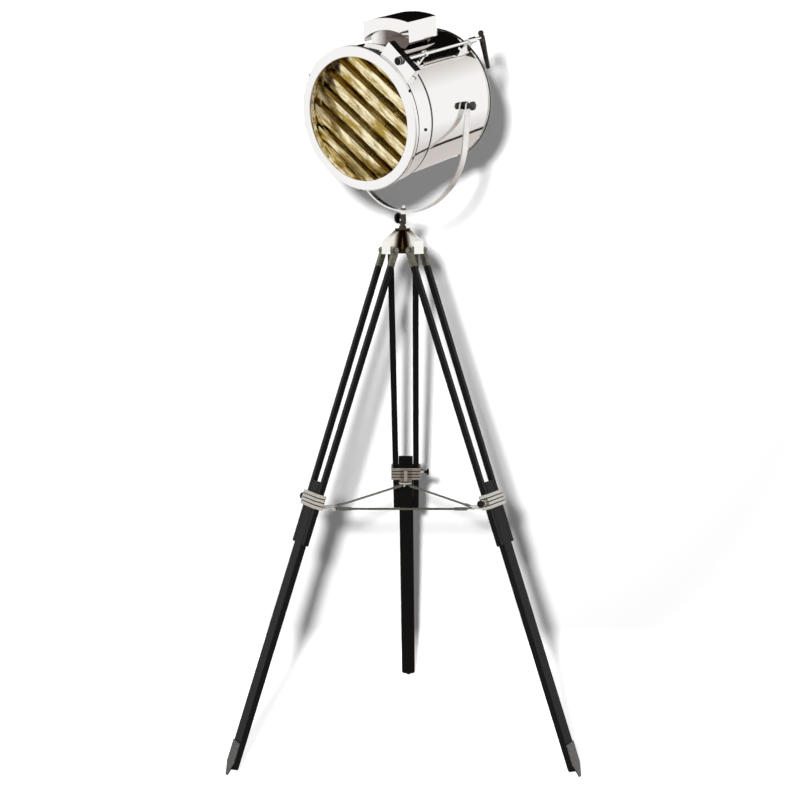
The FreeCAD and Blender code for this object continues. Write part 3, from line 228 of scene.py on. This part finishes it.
def brassMirror(name, look):
    # rolled brass sheet, polished and lacquered: noise streaks along the slats paint in pale
    # highlights and dark gold shade as a painted reflection; soft buckles break up what it mirrors
    glintStreak = {"Detail": 3.0, "Roughness": 0.6, "Scale": 1000 / look["paintedGlintMm"]}
    material, tree, shader, place = newSurface(name, {"Metallic": 1.0})
    rolled = addNode(tree, "ShaderNodeCombineXYZ")
    ways = (slatAlong / look["stretch"], slatAcross, beam)
    for slot, way in enumerate(ways):
        along = addNode(tree, "ShaderNodeVectorMath", {"operation": "DOT_PRODUCT", 1: way},
                        n0=place)
        tree.links.new(along.outputs["Value"], rolled.inputs[slot])
    paintedGlint = addNode(tree, "ShaderNodeTexNoise", glintStreak, Vector=rolled.outputs["Vector"])
    paintBetween(tree, shader, paintedGlint.outputs["Fac"], look["deep"], look["light"], *look["edge"])
    roughBetween(tree, shader, paintedGlint.outputs["Fac"], *look["roughness"])
    wave = addNode(tree, "ShaderNodeTexNoise", {"Scale": 1000 / look["waveMm"], "Detail": 1.0},
                   Vector=place)
    bumpFrom(tree, shader, wave.outputs["Fac"], look["waveLiftMm"])
    return material


def plainMetal(name, light, dark, roughness, grainMm, liftMm):
    # cast, turned or plated metal: tint and roughness wander with the grain of its surface
    wander = {"smoother": 0.8, "rougher": 1.25}
    material, tree, shader, place = newSurface(name, {"Metallic": 1.0})
    grain = addNode(tree, "ShaderNodeTexNoise",
                    {"Scale": 1000 / grainMm, "Detail": 8.0, "Roughness": 0.65}, Vector=place)
    paintBetween(tree, shader, grain.outputs["Fac"], dark, light)
    roughBetween(tree, shader, grain.outputs["Fac"], roughness * wander["smoother"],
                 roughness * wander["rougher"])
    bumpFrom(tree, shader, grain.outputs["Fac"], liftMm)
    return material


def hubPaintedReflection():
    # nickel silver casting, buffed: bright arms round a core painted dark brown as a painted
    # reflection of dark surroundings, widening downwards
    look = {"arm": "#F8F6EF", "core": "#4C3B2B", "coreMm": 22.0, "armMm": 36.0, "taper": 0.16,
            "middle": 1.17, "roughness": (0.12, 0.195), "waveMm": 22, "waveLiftMm": 0.06}
    material, tree, shader, place = newSurface("nickelSilverPaintedReflection", {"Metallic": 1.0})
    split = addNode(tree, "ShaderNodeSeparateXYZ", None, Vector=place)
    flat = addNode(tree, "ShaderNodeCombineXYZ", None, X=split.outputs["X"], Y=split.outputs["Y"])
    radius = addNode(tree, "ShaderNodeVectorMath", {"operation": "LENGTH"},
                     n0=flat.outputs["Vector"])
    rise = addNode(tree, "ShaderNodeMath",
                   {"operation": "MULTIPLY_ADD", 1: look["taper"],
                    2: -look["taper"] * look["middle"]}, n0=split.outputs["Z"])
    coned = addNode(tree, "ShaderNodeMath", {"operation": "ADD"}, n0=radius.outputs["Value"],
                    n1=rise.outputs["Value"])
    paintBetween(tree, shader, coned.outputs["Value"], look["core"], look["arm"],
                 look["coreMm"] / 1000, look["armMm"] / 1000)
    wave = addNode(tree, "ShaderNodeTexNoise", {"Scale": 1000 / look["waveMm"], "Detail": 2.0},
                   Vector=place)
    roughBetween(tree, shader, wave.outputs["Fac"], *look["roughness"])
    bumpFrom(tree, shader, wave.outputs["Fac"], look["waveLiftMm"])
    return material


def ductPaintedReflection():
    # stainless duct with a painted reflection: bright on its left side, painted smoky brown towards the middle and
    # right of the head
    look = {"paintedBright": "#F2F0EC", "paintedSmoky": "#6E645E", "paintedBrightMm": -36, "paintedSmokyMm": -8,
            "roughness": (0.128, 0.2), "cloudMm": 24, "liftMm": 0.02}
    material, tree, shader, place = newSurface("stainlessPaintedReflection", {"Metallic": 1.0})
    across = addNode(tree, "ShaderNodeVectorMath", {"operation": "DOT_PRODUCT", 1: headRight},
                     n0=place)
    middle = tiltPoint.dot(headRight)
    paintBetween(tree, shader, across.outputs["Value"], look["paintedBright"], look["paintedSmoky"],
                 middle + look["paintedBrightMm"] / 1000, middle + look["paintedSmokyMm"] / 1000)
    cloud = addNode(tree, "ShaderNodeTexNoise", {"Scale": 1000 / look["cloudMm"], "Detail": 6.0},
                    Vector=place)
    roughBetween(tree, shader, cloud.outputs["Fac"], *look["roughness"])
    bumpFrom(tree, shader, cloud.outputs["Fac"], look["liftMm"])
    return material


def lacqueredWood():
    # beech under black satin lacquer: deep black, its pores just catch the light along the rail
    look = {"face": "#070606", "pore": "#020202", "edge": (0.38, 0.6), "sheen": 0.14,
            "roughness": (0.38, 0.58), "grainMm": 1.6, "stretch": 26.0, "liftMm": 0.05,
            "strength": 0.6}
    material, tree, shader, place = newSurface("blackLacqueredBeech", {
        "IOR": 1.5, "Specular IOR Level": look["sheen"]})
    squeeze = addNode(tree, "ShaderNodeMapping", {"Scale": (1.0, 1.0, 1 / look["stretch"])},
                      Vector=place)
    grain = addNode(tree, "ShaderNodeTexNoise",
                    {"Scale": 1000 / look["grainMm"], "Detail": 4.0, "Roughness": 0.6},
                    Vector=squeeze.outputs["Vector"])
    paintBetween(tree, shader, grain.outputs["Fac"], look["pore"], look["face"], *look["edge"])
    roughBetween(tree, shader, grain.outputs["Fac"], *look["roughness"])
    bumpFrom(tree, shader, grain.outputs["Fac"], look["liftMm"], look["strength"])
    return material


def mouldedBlack():
    # phenolic resin, moulded: fine even grit of about 0.5 mm and a low sheen
    look = {"tint": "#1B1A19", "roughness": (0.28, 0.44), "gritMm": 0.5, "liftMm": 0.02}
    material, tree, shader, place = newSurface("mouldedPhenolic", {
        "Base Color": hexColour(look["tint"]), "IOR": 1.55})
    grit = addNode(tree, "ShaderNodeTexNoise", {"Scale": 1000 / look["gritMm"], "Detail": 2.0},
                   Vector=place)
    bumpFrom(tree, shader, grit.outputs["Fac"], look["liftMm"])
    roughBetween(tree, shader, grit.outputs["Fac"], *look["roughness"])
    return material


def blownGlass():
    # soda-lime bulb glass, blown: nearly clear, faint ripple
    look = {"tint": "#F7F6F0", "roughness": 0.02, "rippleMm": 30, "liftMm": 0.06}
    material, tree, shader, place = newSurface("blownGlass", {
        "Base Color": hexColour(look["tint"]), "Roughness": look["roughness"], "IOR": 1.5,
        "Transmission Weight": 1.0})
    ripple = addNode(tree, "ShaderNodeTexNoise", {"Scale": 1000 / look["rippleMm"]}, Vector=place)
    bumpFrom(tree, shader, ripple.outputs["Fac"], look["liftMm"])
    return material


# slats: gold with streaks of painted highlight and painted shade; bowl behind them: spun, so its painted streaks
# are softer and even
steel = polishedStainless()
gold = brassMirror("polishedBrass", {
    "light": "#FFF4D0", "deep": "#AB9143", "edge": (0.40, 0.59), "roughness": (0.084, 0.168),
    "paintedGlintMm": 16, "stretch": 3.5, "waveMm": 26, "waveLiftMm": 0.95})
bowlGold = brassMirror("spunBrass", {
    "light": "#FFEAAA", "deep": "#DEBD68", "edge": (0.40, 0.59), "roughness": (0.238, 0.476),
    "paintedGlintMm": 30, "stretch": 1.0, "waveMm": 40, "waveLiftMm": 1.0})

# light tint, dark tint, roughness, then grain and lift in millimetres
nickel = plainMetal("satinNickel", "#E2DFD9", "#BDB9B1",   # turned and plated: soft pale shine
                    0.20, 3.0, 0.01)
gunmetal = plainMetal("blackenedSteel", "#34312F", "#1D1B1A",   # oil blacked: near black, dull
                      0.30, 2.0, 0.01)
yokeSteel = plainMetal("rolledStainless", "#F4F2F0", "#E6E3DF",   # buffed strip: blurred mirror
                       0.22, 9.0, 0.003)
blackNickel = plainMetal("blackNickel", "#54504B", "#24211F",   # plated: dark, sharp highlights
                         0.10, 9.0, 0.01)
rodSteel = plainMetal("drawnSteelRod", "#8F9085", "#5B5C53",   # drawn and left: dull grey-green
                      0.30, 3.0, 0.02)
pewter = plainMetal("castPewter", "#E6E2DA", "#A09A90",   # sand cast, rubbed: pale and mottled
                    0.22, 1.8, 0.04)
cheekMetal = plainMetal("agedNickel", "#7D796B", "#4F4C41",   # plated, tarnished: olive sheen
                        0.22, 9.0, 0.02)
footSteel = plainMetal("wornMildSteel", "#7C7B79", "#4B4A49",   # sawn, scuffed: matt mid grey
                       0.38, 4.0, 0.05)
phenolic = mouldedBlack()
glass = blownGlass()
bySlot = {"polished_steel": steel, "gold_mirror": gold, "nickel": nickel,
          "dark_metal": gunmetal, "hub_bronze": hubPaintedReflection(), "black_wood": lacqueredWood(),
          "foot_steel": footSteel, "pewter": pewter, "lamp_glass": glass,
          "black_plastic": phenolic}
byPiece = {"reflector": bowlGold, "hand_lever": blackNickel, "vent_neck": ductPaintedReflection(),
           "hinge_bolts": rodSteel, "yoke": yokeSteel, "yoke_nut": rodSteel,
           "pan_washer": blackNickel, "pivot_bushes": gunmetal, "rod_supports": steel,
           "operating_rod": steel, "leg_cheeks_": cheekMetal, "swivel_socket": blackNickel,
           "brace_rod_": rodSteel}
print("materials made:", len(bpy.data.materials))

# rounding of edges in millimetres, for every CAD piece whose name starts so
edgeWidth = {"rails_": 1.6, "lower_leg_": 2.2, "collar_": 0.7, "leg_cheeks_": 1.0,
             "foot_plate_": 0.7, "hub": 1.2, "vent_hood": 0.45, "shutter_case": 0.5,
             "front_ring": 0.5, "yoke": 0.6, "drum_shell": 0.2, "hinge_bolts": 0.6,
             "hand_lever": 0.8, "operating_rod": 0.5, "knuckle": 0.3, "swivel_socket": 0.5}
edgeLook = {"weldMm": 0.01, "segments": 2, "sharpest": 38}


def dressCad():
    # a name that ends in _ stands for every piece that starts with it
    slots = {entry["node"]: entry["material_slot"] for entry in frame["record"]["subparts"]}
    for name, piece in nodes.items():
        piece.data.materials.clear()
        finish = [made for start, made in byPiece.items()
                  if name == start or start.endswith("_") and name.startswith(start)]
        piece.data.materials.append(finish[0] if finish else bySlot[slots[name]])
        weld = piece.modifiers.new("weld", "WELD")
        weld.merge_threshold = edgeLook["weldMm"] / 1000
        width = [w for start, w in edgeWidth.items() if name.startswith(start)]
        if width:
            edge = piece.modifiers.new("edge", "BEVEL")
            edge.width = width[0] / 1000
            edge.segments = edgeLook["segments"]
            edge.limit_method = "ANGLE"
            edge.angle_limit = math.radians(edgeLook["sharpest"])
        shade = piece.modifiers.new("shade", "WEIGHTED_NORMAL")
        shade.keep_sharp = True
    print("CAD pieces dressed")


dressCad()

# outlines below are (radius, height) in millimetres
lockSize = {"grip": [(10.974, 0), (11.8, 1.2), (11.8, 5.2), (10.974, 6.4)],
            "boss": [(6.49, 6.4), (5.9, 7.0), (1.0, 7.0)], "shank": [(2.5, -2.2), (2.5, 0.5)],
            "ridges": 32, "ridgeLift": 0.035, "ridgesFrom": 0.6, "ridgesTo": 5.8, "sunk": 3.0}


def lockKnob():
    # knurled grip on a plain shank, with a raised boss on its face
    s = lockSize
    axis = jointAxis("lock_knob_turn")
    side = axis.orthogonal().normalized()
    spot = axesMatrix(jointPoint("lock_knob_turn") + axis * s["sunk"] / 1000, side,
                      side.cross(axis), -axis)
    bm = bmesh.new()
    lathe(bm, s["grip"], segments=s["ridges"] * pointsPerRidge,
          wobble=ridged(s["ridges"], s["ridgeLift"], s["ridgesFrom"], s["ridgesTo"]))
    lathe(bm, s["boss"], segments=40)
    lathe(bm, s["shank"], segments=24)
    piece = finishMesh("lockKnob", bm, spot, "lock_knob", gunmetal, smooth=32)
    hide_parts("lock_knob")


lockKnob()

clampSize = {"fromMiddle": 43.7, "belowHinge": 586.5, "ridges": 24, "ridgeLift": 0.04,
             "flange": [(2.5, -14.0), (2.5, 0.2), (7.3, 0.2), (7.9, 0.8), (7.9, 2.0),
                        (7.1, 2.6), (4.2, 2.9)],
             "neck": [(4.2, 2.6), (3.78, 7.6), (6.24, 8.6)],
             "head": [(6.24, 8.4), (7.8, 9.6), (7.8, 12.8), (7.02, 13.8), (3.9, 13.8),
                      (3.51, 13.3)]}


def clampKnob(legSide, legFrame):
    # bright flange against the collar, dark grooved head on a thin neck
    s = clampSize
    spot = legFrame @ Matrix.Translation((-s["fromMiddle"] / 1000, 0, s["belowHinge"] / 1000))
    spot = spot @ Matrix.Rotation(math.radians(-90), 4, "Y")
    body = "clamp_screw_" + legSide
    bm = bmesh.new()
    lathe(bm, s["flange"], segments=48)
    finishMesh("clampFlange_" + legSide, bm, spot, body, pewter, smooth=32)
    bm = bmesh.new()
    lathe(bm, s["neck"], segments=32)
    lathe(bm, s["head"], segments=s["ridges"] * pointsPerRidge,
          wobble=ridged(s["ridges"], s["ridgeLift"]))
    piece = finishMesh("clampKnob_" + legSide, bm, spot, body, gunmetal, smooth=32)
    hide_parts(body)


for legSide, legFrame in legFrames.items():
    clampKnob(legSide, legFrame)
print("lock and clamp knobs made")

# radii, then heights along the beam, in millimetres
# dark rings of painted shade: in the drum's band groove, at the front ring's edge and at the rear rim
shadeRingSize = {"bandGrooveShade": {"inner": 145.1, "outer": 148.8, "start": 124.6, "end": 131.3},
            "ringEdgeShade": {"inner": 149.1, "outer": 152.2, "start": 177.3, "end": 180.9},
            "rearRimShade": {"inner": 145.1, "outer": 147.5, "start": -98.2, "end": -95.4}}
shadeRingChamfer = 1.0


def drumShadeRing(name, shadeRing):
    # painted shade: a thin black ring laid along a turned edge of the drum where a dark shadow line falls
    bm = bmesh.new()
    lathe(bm, [(shadeRing["inner"], shadeRing["start"]), (shadeRing["outer"] - shadeRingChamfer, shadeRing["start"]),
               (shadeRing["outer"], shadeRing["start"] + shadeRingChamfer), (shadeRing["outer"], shadeRing["end"]),
               (shadeRing["inner"], shadeRing["end"])], segments=160, closed=True)
    finishMesh(name, bm, drumFrame, "lamp_head", phenolic)


for shadeRingName, shadeRing in shadeRingSize.items():
    drumShadeRing(shadeRingName, shadeRing)

# sizes of the dark strips of painted shade in the collar's grooves
grooveShadeSize = {"halfAcross": 35.8, "back": -11.6, "front": 12.2, "corner": 2.6, "cornerSteps": 4,
            "top": 570.0, "tall": 33.0, "ridges": 4, "width": 2.2, "depth": 1.2}


def roundedLoop(bm, inset, height):
    # one line of points round the collar, its corners rounded
    s = grooveShadeSize
    r = s["corner"] - inset
    loop = []
    for quarter, (sx, sy) in enumerate(((1, 1), (-1, 1), (-1, -1), (1, -1))):
        cx = sx * (s["halfAcross"] - s["corner"])
        cy = (s["front"] - s["corner"]) if sy > 0 else (s["back"] + s["corner"])
        for step in range(s["cornerSteps"] + 1):
            angle = math.pi / 2 * (quarter + step / s["cornerSteps"])
            loop.append(bm.verts.new(((cx + r * math.cos(angle)) / 1000,
                                      (cy + r * math.sin(angle)) / 1000, height / 1000)))
    return loop


def collarGrooveShade(legSide, legFrame):
    # painted shade: dark strips laid in the bottoms of the grooves between the collar's ridges
    s = grooveShadeSize
    bm = bmesh.new()
    for groove in range(1, s["ridges"]):
        middle = s["top"] + s["tall"] * groove / s["ridges"]
        low, high = middle - s["width"] / 2, middle + s["width"] / 2
        loops = [roundedLoop(bm, inset, height) for inset, height in
                 ((0.0, low), (0.0, high), (s["depth"], high), (s["depth"], low))]
        skin(bm, loops + loops[:1])
    finishMesh("collarGrooveShade_" + legSide, bm, legFrame, "leg_" + legSide, gunmetal)


for legSide, legFrame in legFrames.items():
    collarGrooveShade(legSide, legFrame)
print("shadeRings and collar lines made")

capOutline = [(8.272, 184.5), (8.8, 185.3), (8.8, 190.4), (7.92, 191.6), (4.84, 193.3),
              (1.76, 193.6)]


def rodNutCap():
    # dark acorn cap over the nut on the operating rod
    bm = bmesh.new()
    lathe(bm, capOutline, segments=40)
    finishMesh("rodNutCap", bm, rodFrame, "shutter_drive", gunmetal, smooth=35)


rodNutCap()

tiltSize = {"outline": [(6.2, 155.4), (6.2, 159.4), (7.36, 160.4), (9.2, 161.8), (9.2, 166.8),
                        (7.912, 168.5), (4.6, 169.0), (1.0, 169.0)],
            "lobes": 6, "lobeLift": 0.07, "lobesFrom": 161.0}


def tiltKnob(side, degrees):
    # moulded knob with six shallow lobes
    s = tiltSize

    def lobed(angle, height):
        return 1.0 + (s["lobeLift"] * math.cos(angle * s["lobes"])
                      if height > s["lobesFrom"] else 0.0)

    bm = bmesh.new()
    lathe(bm, s["outline"], segments=72, wobble=lobed)
    spot = drumFrame @ Matrix.Rotation(math.radians(degrees), 4, "Y")
    piece = finishMesh("tiltKnob" + side.capitalize(), bm, spot, "tilt_knob_" + side, phenolic,
                       smooth=50)
    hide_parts("tilt_knob_" + side)


tiltKnob("right", 90)
tiltKnob("left", -90)
print("nut cap and tilt knobs made")

glassSize = {"neck": (12.2, -6), "neckRadius": 12.8, "globe": 29.6, "centre": 58, "tip": 0.4,
             "wall": 0.9, "thinnest": 0.3, "arcs": 25}


def bulbGlass():
    # pear shaped glass, a thin closed shell
    s = glassSize
    outline = [s["neck"]]
    for step in range(2, s["arcs"]):
        angle = math.pi * (1 - step / s["arcs"])
        radius = s["globe"] * math.sin(angle)
        height = s["centre"] + s["globe"] * math.cos(angle)
        if radius > s["neckRadius"] or height > s["centre"]:
            outline.append((radius, height))
    outline.append((s["tip"], s["centre"] + s["globe"]))
    inner = [(max(r - s["wall"], s["thinnest"]), h - (s["wall"] if h > s["centre"] else 0))
             for r, h in outline]
    bm = bmesh.new()
    lathe(bm, outline + inner[::-1], segments=48, closed=True)
    piece = finishMesh("bulbGlass", bm, drumFrame, "lamp_head", glass, smooth=80)
    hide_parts("bulb")


bulbGlass()

capSize = {"contact": (4.0, -29.5), "rim": (12.0, -5.5), "radius": 11.9, "deep": 0.8,
           "threadFrom": -26.5, "threadLong": 19.5, "turns": 7}


def bulbCap():
    # nickel plated screw cap with a rolled thread, four points to a turn
    s = capSize
    thread = [s["contact"]]
    quarters = s["turns"] * 4
    for step in range(quarters + 1):
        thread.append((s["radius"] + s["deep"] * math.sin(step * math.pi / 2),
                       s["threadFrom"] + s["threadLong"] * step / quarters))
    thread.append(s["rim"])
    bm = bmesh.new()
    lathe(bm, thread, segments=40)
    finishMesh("bulbCap", bm, drumFrame, "lamp_head", nickel, smooth=60)


bulbCap()

wireSize = {"coilFrom": 3.6, "coilTo": 9.0, "points": 60, "turn": 0.5, "height": 58,
            "rise": 0.15, "thick": 0.35, "leadThick": 0.5,
            "lead": [(3.0, 0, -4), (3.5, 0, 20), (8, 0, 40), (6, 0, 60)]}


def bulbFilament():
    # widening coil held by two lead wires
    s = wireSize
    coil = []
    for k in range(s["points"]):
        r = s["coilFrom"] + (s["coilTo"] - s["coilFrom"]) * k / s["points"]
        coil.append((r * math.cos(k * s["turn"]), r * math.sin(k * s["turn"]),
                     s["height"] + s["rise"] * k))
    bm = bmesh.new()
    tube(bm, coil, s["thick"])
    for sign in (-1, 1):
        tube(bm, [(x * sign, y, z) for x, y, z in s["lead"]], s["leadThick"])
    finishMesh("bulbFilament", bm, drumFrame, "lamp_head", nickel, smooth=60)


bulbFilament()
print("bulb made")


def camera():
    # turn in degrees, down and roll in radians, focal length in pixels of an 800 pixel frame
    view = {"place": (0.0714, -3.0640, 1.2036), "turn": 1.48, "down": 0.12845, "roll": 0.005,
            "focal": 1343.6, "pixels": 800, "sensor": 36}
    turn = math.radians(view["turn"])
    ahead = Vector((-math.sin(turn), math.cos(turn), 0))
    look = ahead * math.cos(view["down"]) - Vector((0, 0, 1)) * math.sin(view["down"])
    right = ahead.cross(Vector((0, 0, 1))).normalized()
    up = right.cross(look)
    right, up = (right * math.cos(view["roll"]) - up * math.sin(view["roll"]),
                 up * math.cos(view["roll"]) + right * math.sin(view["roll"]))
    data = bpy.data.cameras.new("camera")
    data.lens = view["focal"] / view["pixels"] * view["sensor"]
    data.sensor_width = view["sensor"]
    eye = bpy.data.objects.new("camera", data)
    eye.matrix_world = axesMatrix(Vector(view["place"]), right, up, -look)
    bpy.context.scene.collection.objects.link(eye)
    bpy.context.scene.camera = eye


def worldLight():
    # white studio for the camera and for glass; metal sees pale walls that darken up and down
    sky = {"seen": 1.0, "fill": 0.09, "white": "#FFFFFF"}
    bands = [(-90, "#8F8984"), (-48, "#B9B3AE"), (-26, "#D3CDC9"), (-10, "#FFFFFF"),
             (24, "#FFFFFF"), (46, "#D8D2CE"), (58, "#A09992"), (70, "#4B4642"), (90, "#3A3633")]
    world = bpy.data.worlds.new("studio")
    bpy.context.scene.world = world
    world.use_nodes = True
    tree = world.node_tree
    tree.nodes.clear()
    place = addNode(tree, "ShaderNodeTexCoord")
    split = addNode(tree, "ShaderNodeSeparateXYZ", None, Vector=place.outputs["Generated"])
    slope = addNode(tree, "ShaderNodeMath", {"operation": "ARCSINE"}, n0=split.outputs["Z"])
    height = addNode(tree, "ShaderNodeMapRange",
                     {"From Min": -math.pi / 2, "From Max": math.pi / 2},
                     Value=slope.outputs["Value"])
    ramp = addNode(tree, "ShaderNodeValToRGB", None, Fac=height.outputs["Result"])
    stops = ramp.color_ramp.elements
    while len(stops) < len(bands):
        stops.new(0.5)
    for stop, (degrees, code) in zip(stops, bands):
        stop.position = (degrees + 90) / 180
        stop.color = hexColour(code)
    rays = addNode(tree, "ShaderNodeLightPath")
    mirror = addNode(tree, "ShaderNodeBackground", {"Strength": 1.0}, Color=ramp.outputs["Color"])
    fill = addNode(tree, "ShaderNodeBackground",
                   {"Color": hexColour(sky["white"]), "Strength": sky["fill"]})
    white = addNode(tree, "ShaderNodeBackground",
                    {"Color": hexColour(sky["white"]), "Strength": sky["seen"]})
    shown = addNode(tree, "ShaderNodeMath", {"operation": "MAXIMUM"},
                    n0=rays.outputs["Is Camera Ray"], n1=rays.outputs["Is Transmission Ray"])
    pick = addNode(tree, "ShaderNodeMixShader", None, Fac=rays.outputs["Is Glossy Ray"],
                   n1=fill.outputs["Background"], n2=mirror.outputs["Background"])
    last = addNode(tree, "ShaderNodeMixShader", None, Fac=shown.outputs["Value"],
                   n1=pick.outputs["Shader"], n2=white.outputs["Background"])
    addNode(tree, "ShaderNodeOutputWorld", None, Surface=last.outputs["Shader"])


def cardPaper(name, tint):
    material, tree = emptyMaterial(name)
    glow = addNode(tree, "ShaderNodeEmission", {"Color": hexColour(tint), "Strength": 1.0})
    addNode(tree, "ShaderNodeOutputMaterial", None, Surface=glow.outputs["Emission"])
    return material


def cards():
    # studio cards that only polished metal sees: round the head, in degrees from the front
    rig = {"softbox": {"round": -76, "high": 0, "wide": 78, "tall": 76, "tint": "#FFFFFF"},
           "flagTop": {"round": 169, "high": 36, "wide": 72, "tall": 24, "roll": 39,
                       "tint": "#0E0C0B"},
           "flagLow": {"round": 136, "high": -34, "wide": 3.6, "tall": 54, "tint": "#2A2320"},
           "cardLow": {"round": 160, "high": -24, "wide": 42, "tall": 40, "tint": "#D3CCC8"},
           "stripFar": {"round": -113, "high": -10, "wide": 6, "tall": 60, "tint": "#3A2E18"}}
    hang = {"centre": (0, 0, 1.45), "far": 6.0, "step": 0.05}
    for order, (name, card) in enumerate(rig.items()):
        far = hang["far"] - hang["step"] * order   # later cards hang in front of earlier ones
        x, y = [far * math.tan(math.radians(card[way] / 2)) for way in ("wide", "tall")]
        mesh = bpy.data.meshes.new(name)
        mesh.from_pydata([(-x, -y, 0), (x, -y, 0), (x, y, 0), (-x, y, 0)], [], [(0, 1, 2, 3)])
        mesh.materials.append(cardPaper(name, card["tint"]))
        panel = bpy.data.objects.new(name, mesh)
        turn, lift = math.radians(card["round"]), math.radians(card["high"])
        way = Vector((math.sin(turn) * math.cos(lift), -math.cos(turn) * math.cos(lift),
                      math.sin(lift)))
        panel.location = Vector(hang["centre"]) + way * far
        spin = Quaternion((0, 0, 1), math.radians(card.get("roll", 0)))
        panel.rotation_euler = (way.to_track_quat("-Z", "Y") @ spin).to_euler()
        for ray in ("camera", "diffuse", "transmission", "shadow", "volume_scatter"):
            setattr(panel, "visible_" + ray, False)
        bpy.context.scene.collection.objects.link(panel)


def sweepPaint():
    # matt white paper: it glows a little, more on the floor and far out, so that it stays
    # white; mirrors look through it to the studio, and so does the camera from behind it
    paint = {"tint": "#F6F6F6", "bounce": "#5E5E5E", "wallGlow": 0.05, "floorGlow": 0.80,
             "centre": (0.0, 0.0, 1.0), "near": 1.15, "far": 2.1}
    material, tree = emptyMaterial("sweepPaint")
    rays = addNode(tree, "ShaderNodeLightPath")
    shape = addNode(tree, "ShaderNodeNewGeometry")
    split = addNode(tree, "ShaderNodeSeparateXYZ", None, Vector=shape.outputs["Normal"])
    flat = addNode(tree, "ShaderNodeMath", {"operation": "ABSOLUTE"}, n0=split.outputs["Z"])
    level = addNode(tree, "ShaderNodeMapRange",
                    {"To Min": paint["wallGlow"], "To Max": paint["floorGlow"]},
                    Value=flat.outputs["Value"])
    apart = addNode(tree, "ShaderNodeVectorMath", {"operation": "DISTANCE", 1: paint["centre"]},
                    n0=shape.outputs["Position"])
    outer = addNode(tree, "ShaderNodeMapRange",
                    {"From Min": paint["near"], "From Max": paint["far"]},
                    Value=apart.outputs["Value"])
    most = addNode(tree, "ShaderNodeMath", {"operation": "MAXIMUM"}, n0=level.outputs["Result"],
                   n1=outer.outputs["Result"])
    glow = addNode(tree, "ShaderNodeEmission", None, Strength=most.outputs["Value"])
    matt = addNode(tree, "ShaderNodeBsdfDiffuse", {"Color": hexColour(paint["tint"])})
    both = addNode(tree, "ShaderNodeAddShader", None, n0=matt.outputs["BSDF"],
                   n1=glow.outputs["Emission"])
    dull = addNode(tree, "ShaderNodeBsdfDiffuse", {"Color": hexColour(paint["bounce"])})
    seen = addNode(tree, "ShaderNodeMixShader", None, Fac=rays.outputs["Is Camera Ray"],
                   n1=dull.outputs["BSDF"], n2=both.outputs["Shader"])
    clear = addNode(tree, "ShaderNodeBsdfTransparent")
    behind = addNode(tree, "ShaderNodeMath", {"operation": "MULTIPLY"},
                     n0=rays.outputs["Is Camera Ray"], n1=shape.outputs["Backfacing"])
    hidden = addNode(tree, "ShaderNodeMath", {"operation": "MAXIMUM"},
                     n0=behind.outputs["Value"], n1=rays.outputs["Is Glossy Ray"])
    last = addNode(tree, "ShaderNodeMixShader", None, Fac=hidden.outputs["Value"],
                   n1=seen.outputs["Shader"], n2=clear.outputs["BSDF"])
    addNode(tree, "ShaderNodeOutputMaterial", None, Surface=last.outputs["Shader"])
    return material


def backdrop():
    # white sweep: floor, and a wall just behind the rear foot that takes the soft shadow
    size = {"half": 8.0, "front": -8.0, "wall": 0.56, "bend": 0.10, "height": 6.0,
            "drop": 0.0005, "steps": 10}
    rows = [(size["front"], 0.0), (size["wall"] - size["bend"], 0.0)]
    for step in range(1, size["steps"] + 1):
        angle = math.pi / 2 * step / size["steps"]
        rows.append((size["wall"] - size["bend"] + size["bend"] * math.sin(angle),
                     size["bend"] - size["bend"] * math.cos(angle)))
    rows.append((size["wall"], size["height"]))
    bm = bmesh.new()
    lines = [[bm.verts.new((x, y, z - size["drop"])) for x in (-size["half"], size["half"])]
             for y, z in rows]
    for low, high in zip(lines, lines[1:]):
        bm.faces.new((low[0], low[1], high[1], high[0]))
    mesh = bpy.data.meshes.new("sweep")
    bm.to_mesh(mesh)
    bm.free()
    mesh.polygons.foreach_set("use_smooth", [True] * len(mesh.polygons))
    mesh.materials.append(sweepPaint())
    sweep = bpy.data.objects.new("sweep", mesh)
    bpy.context.scene.collection.objects.link(sweep)


def lamps():
    # small key beside the camera throws the near shadow; a wide top lamp keeps the floor pale
    rig = {"key": {"place": (-0.20, -3.20, 1.48), "aim": (0, 0, 0.95), "size": 0.20,
                   "watt": 156},
           "top": {"place": (0.2, -1.2, 3.4), "aim": (0, -0.4, 0), "size": 2.6, "watt": 8}}
    for name, lamp in rig.items():
        data = bpy.data.lights.new(name, "AREA")
        data.shape = "DISK"
        data.size = lamp["size"]
        data.energy = lamp["watt"]
        light = bpy.data.objects.new(name, data)
        light.location = lamp["place"]
        aim = Vector(lamp["aim"]) - Vector(lamp["place"])
        light.rotation_euler = aim.to_track_quat("-Z", "Y").to_euler()
        light.visible_glossy = False
        bpy.context.scene.collection.objects.link(light)


camera()
worldLight()
cards()
backdrop()
lamps()
bpy.context.scene.view_settings.view_transform = "Standard"
print("camera, light and backdrop set")
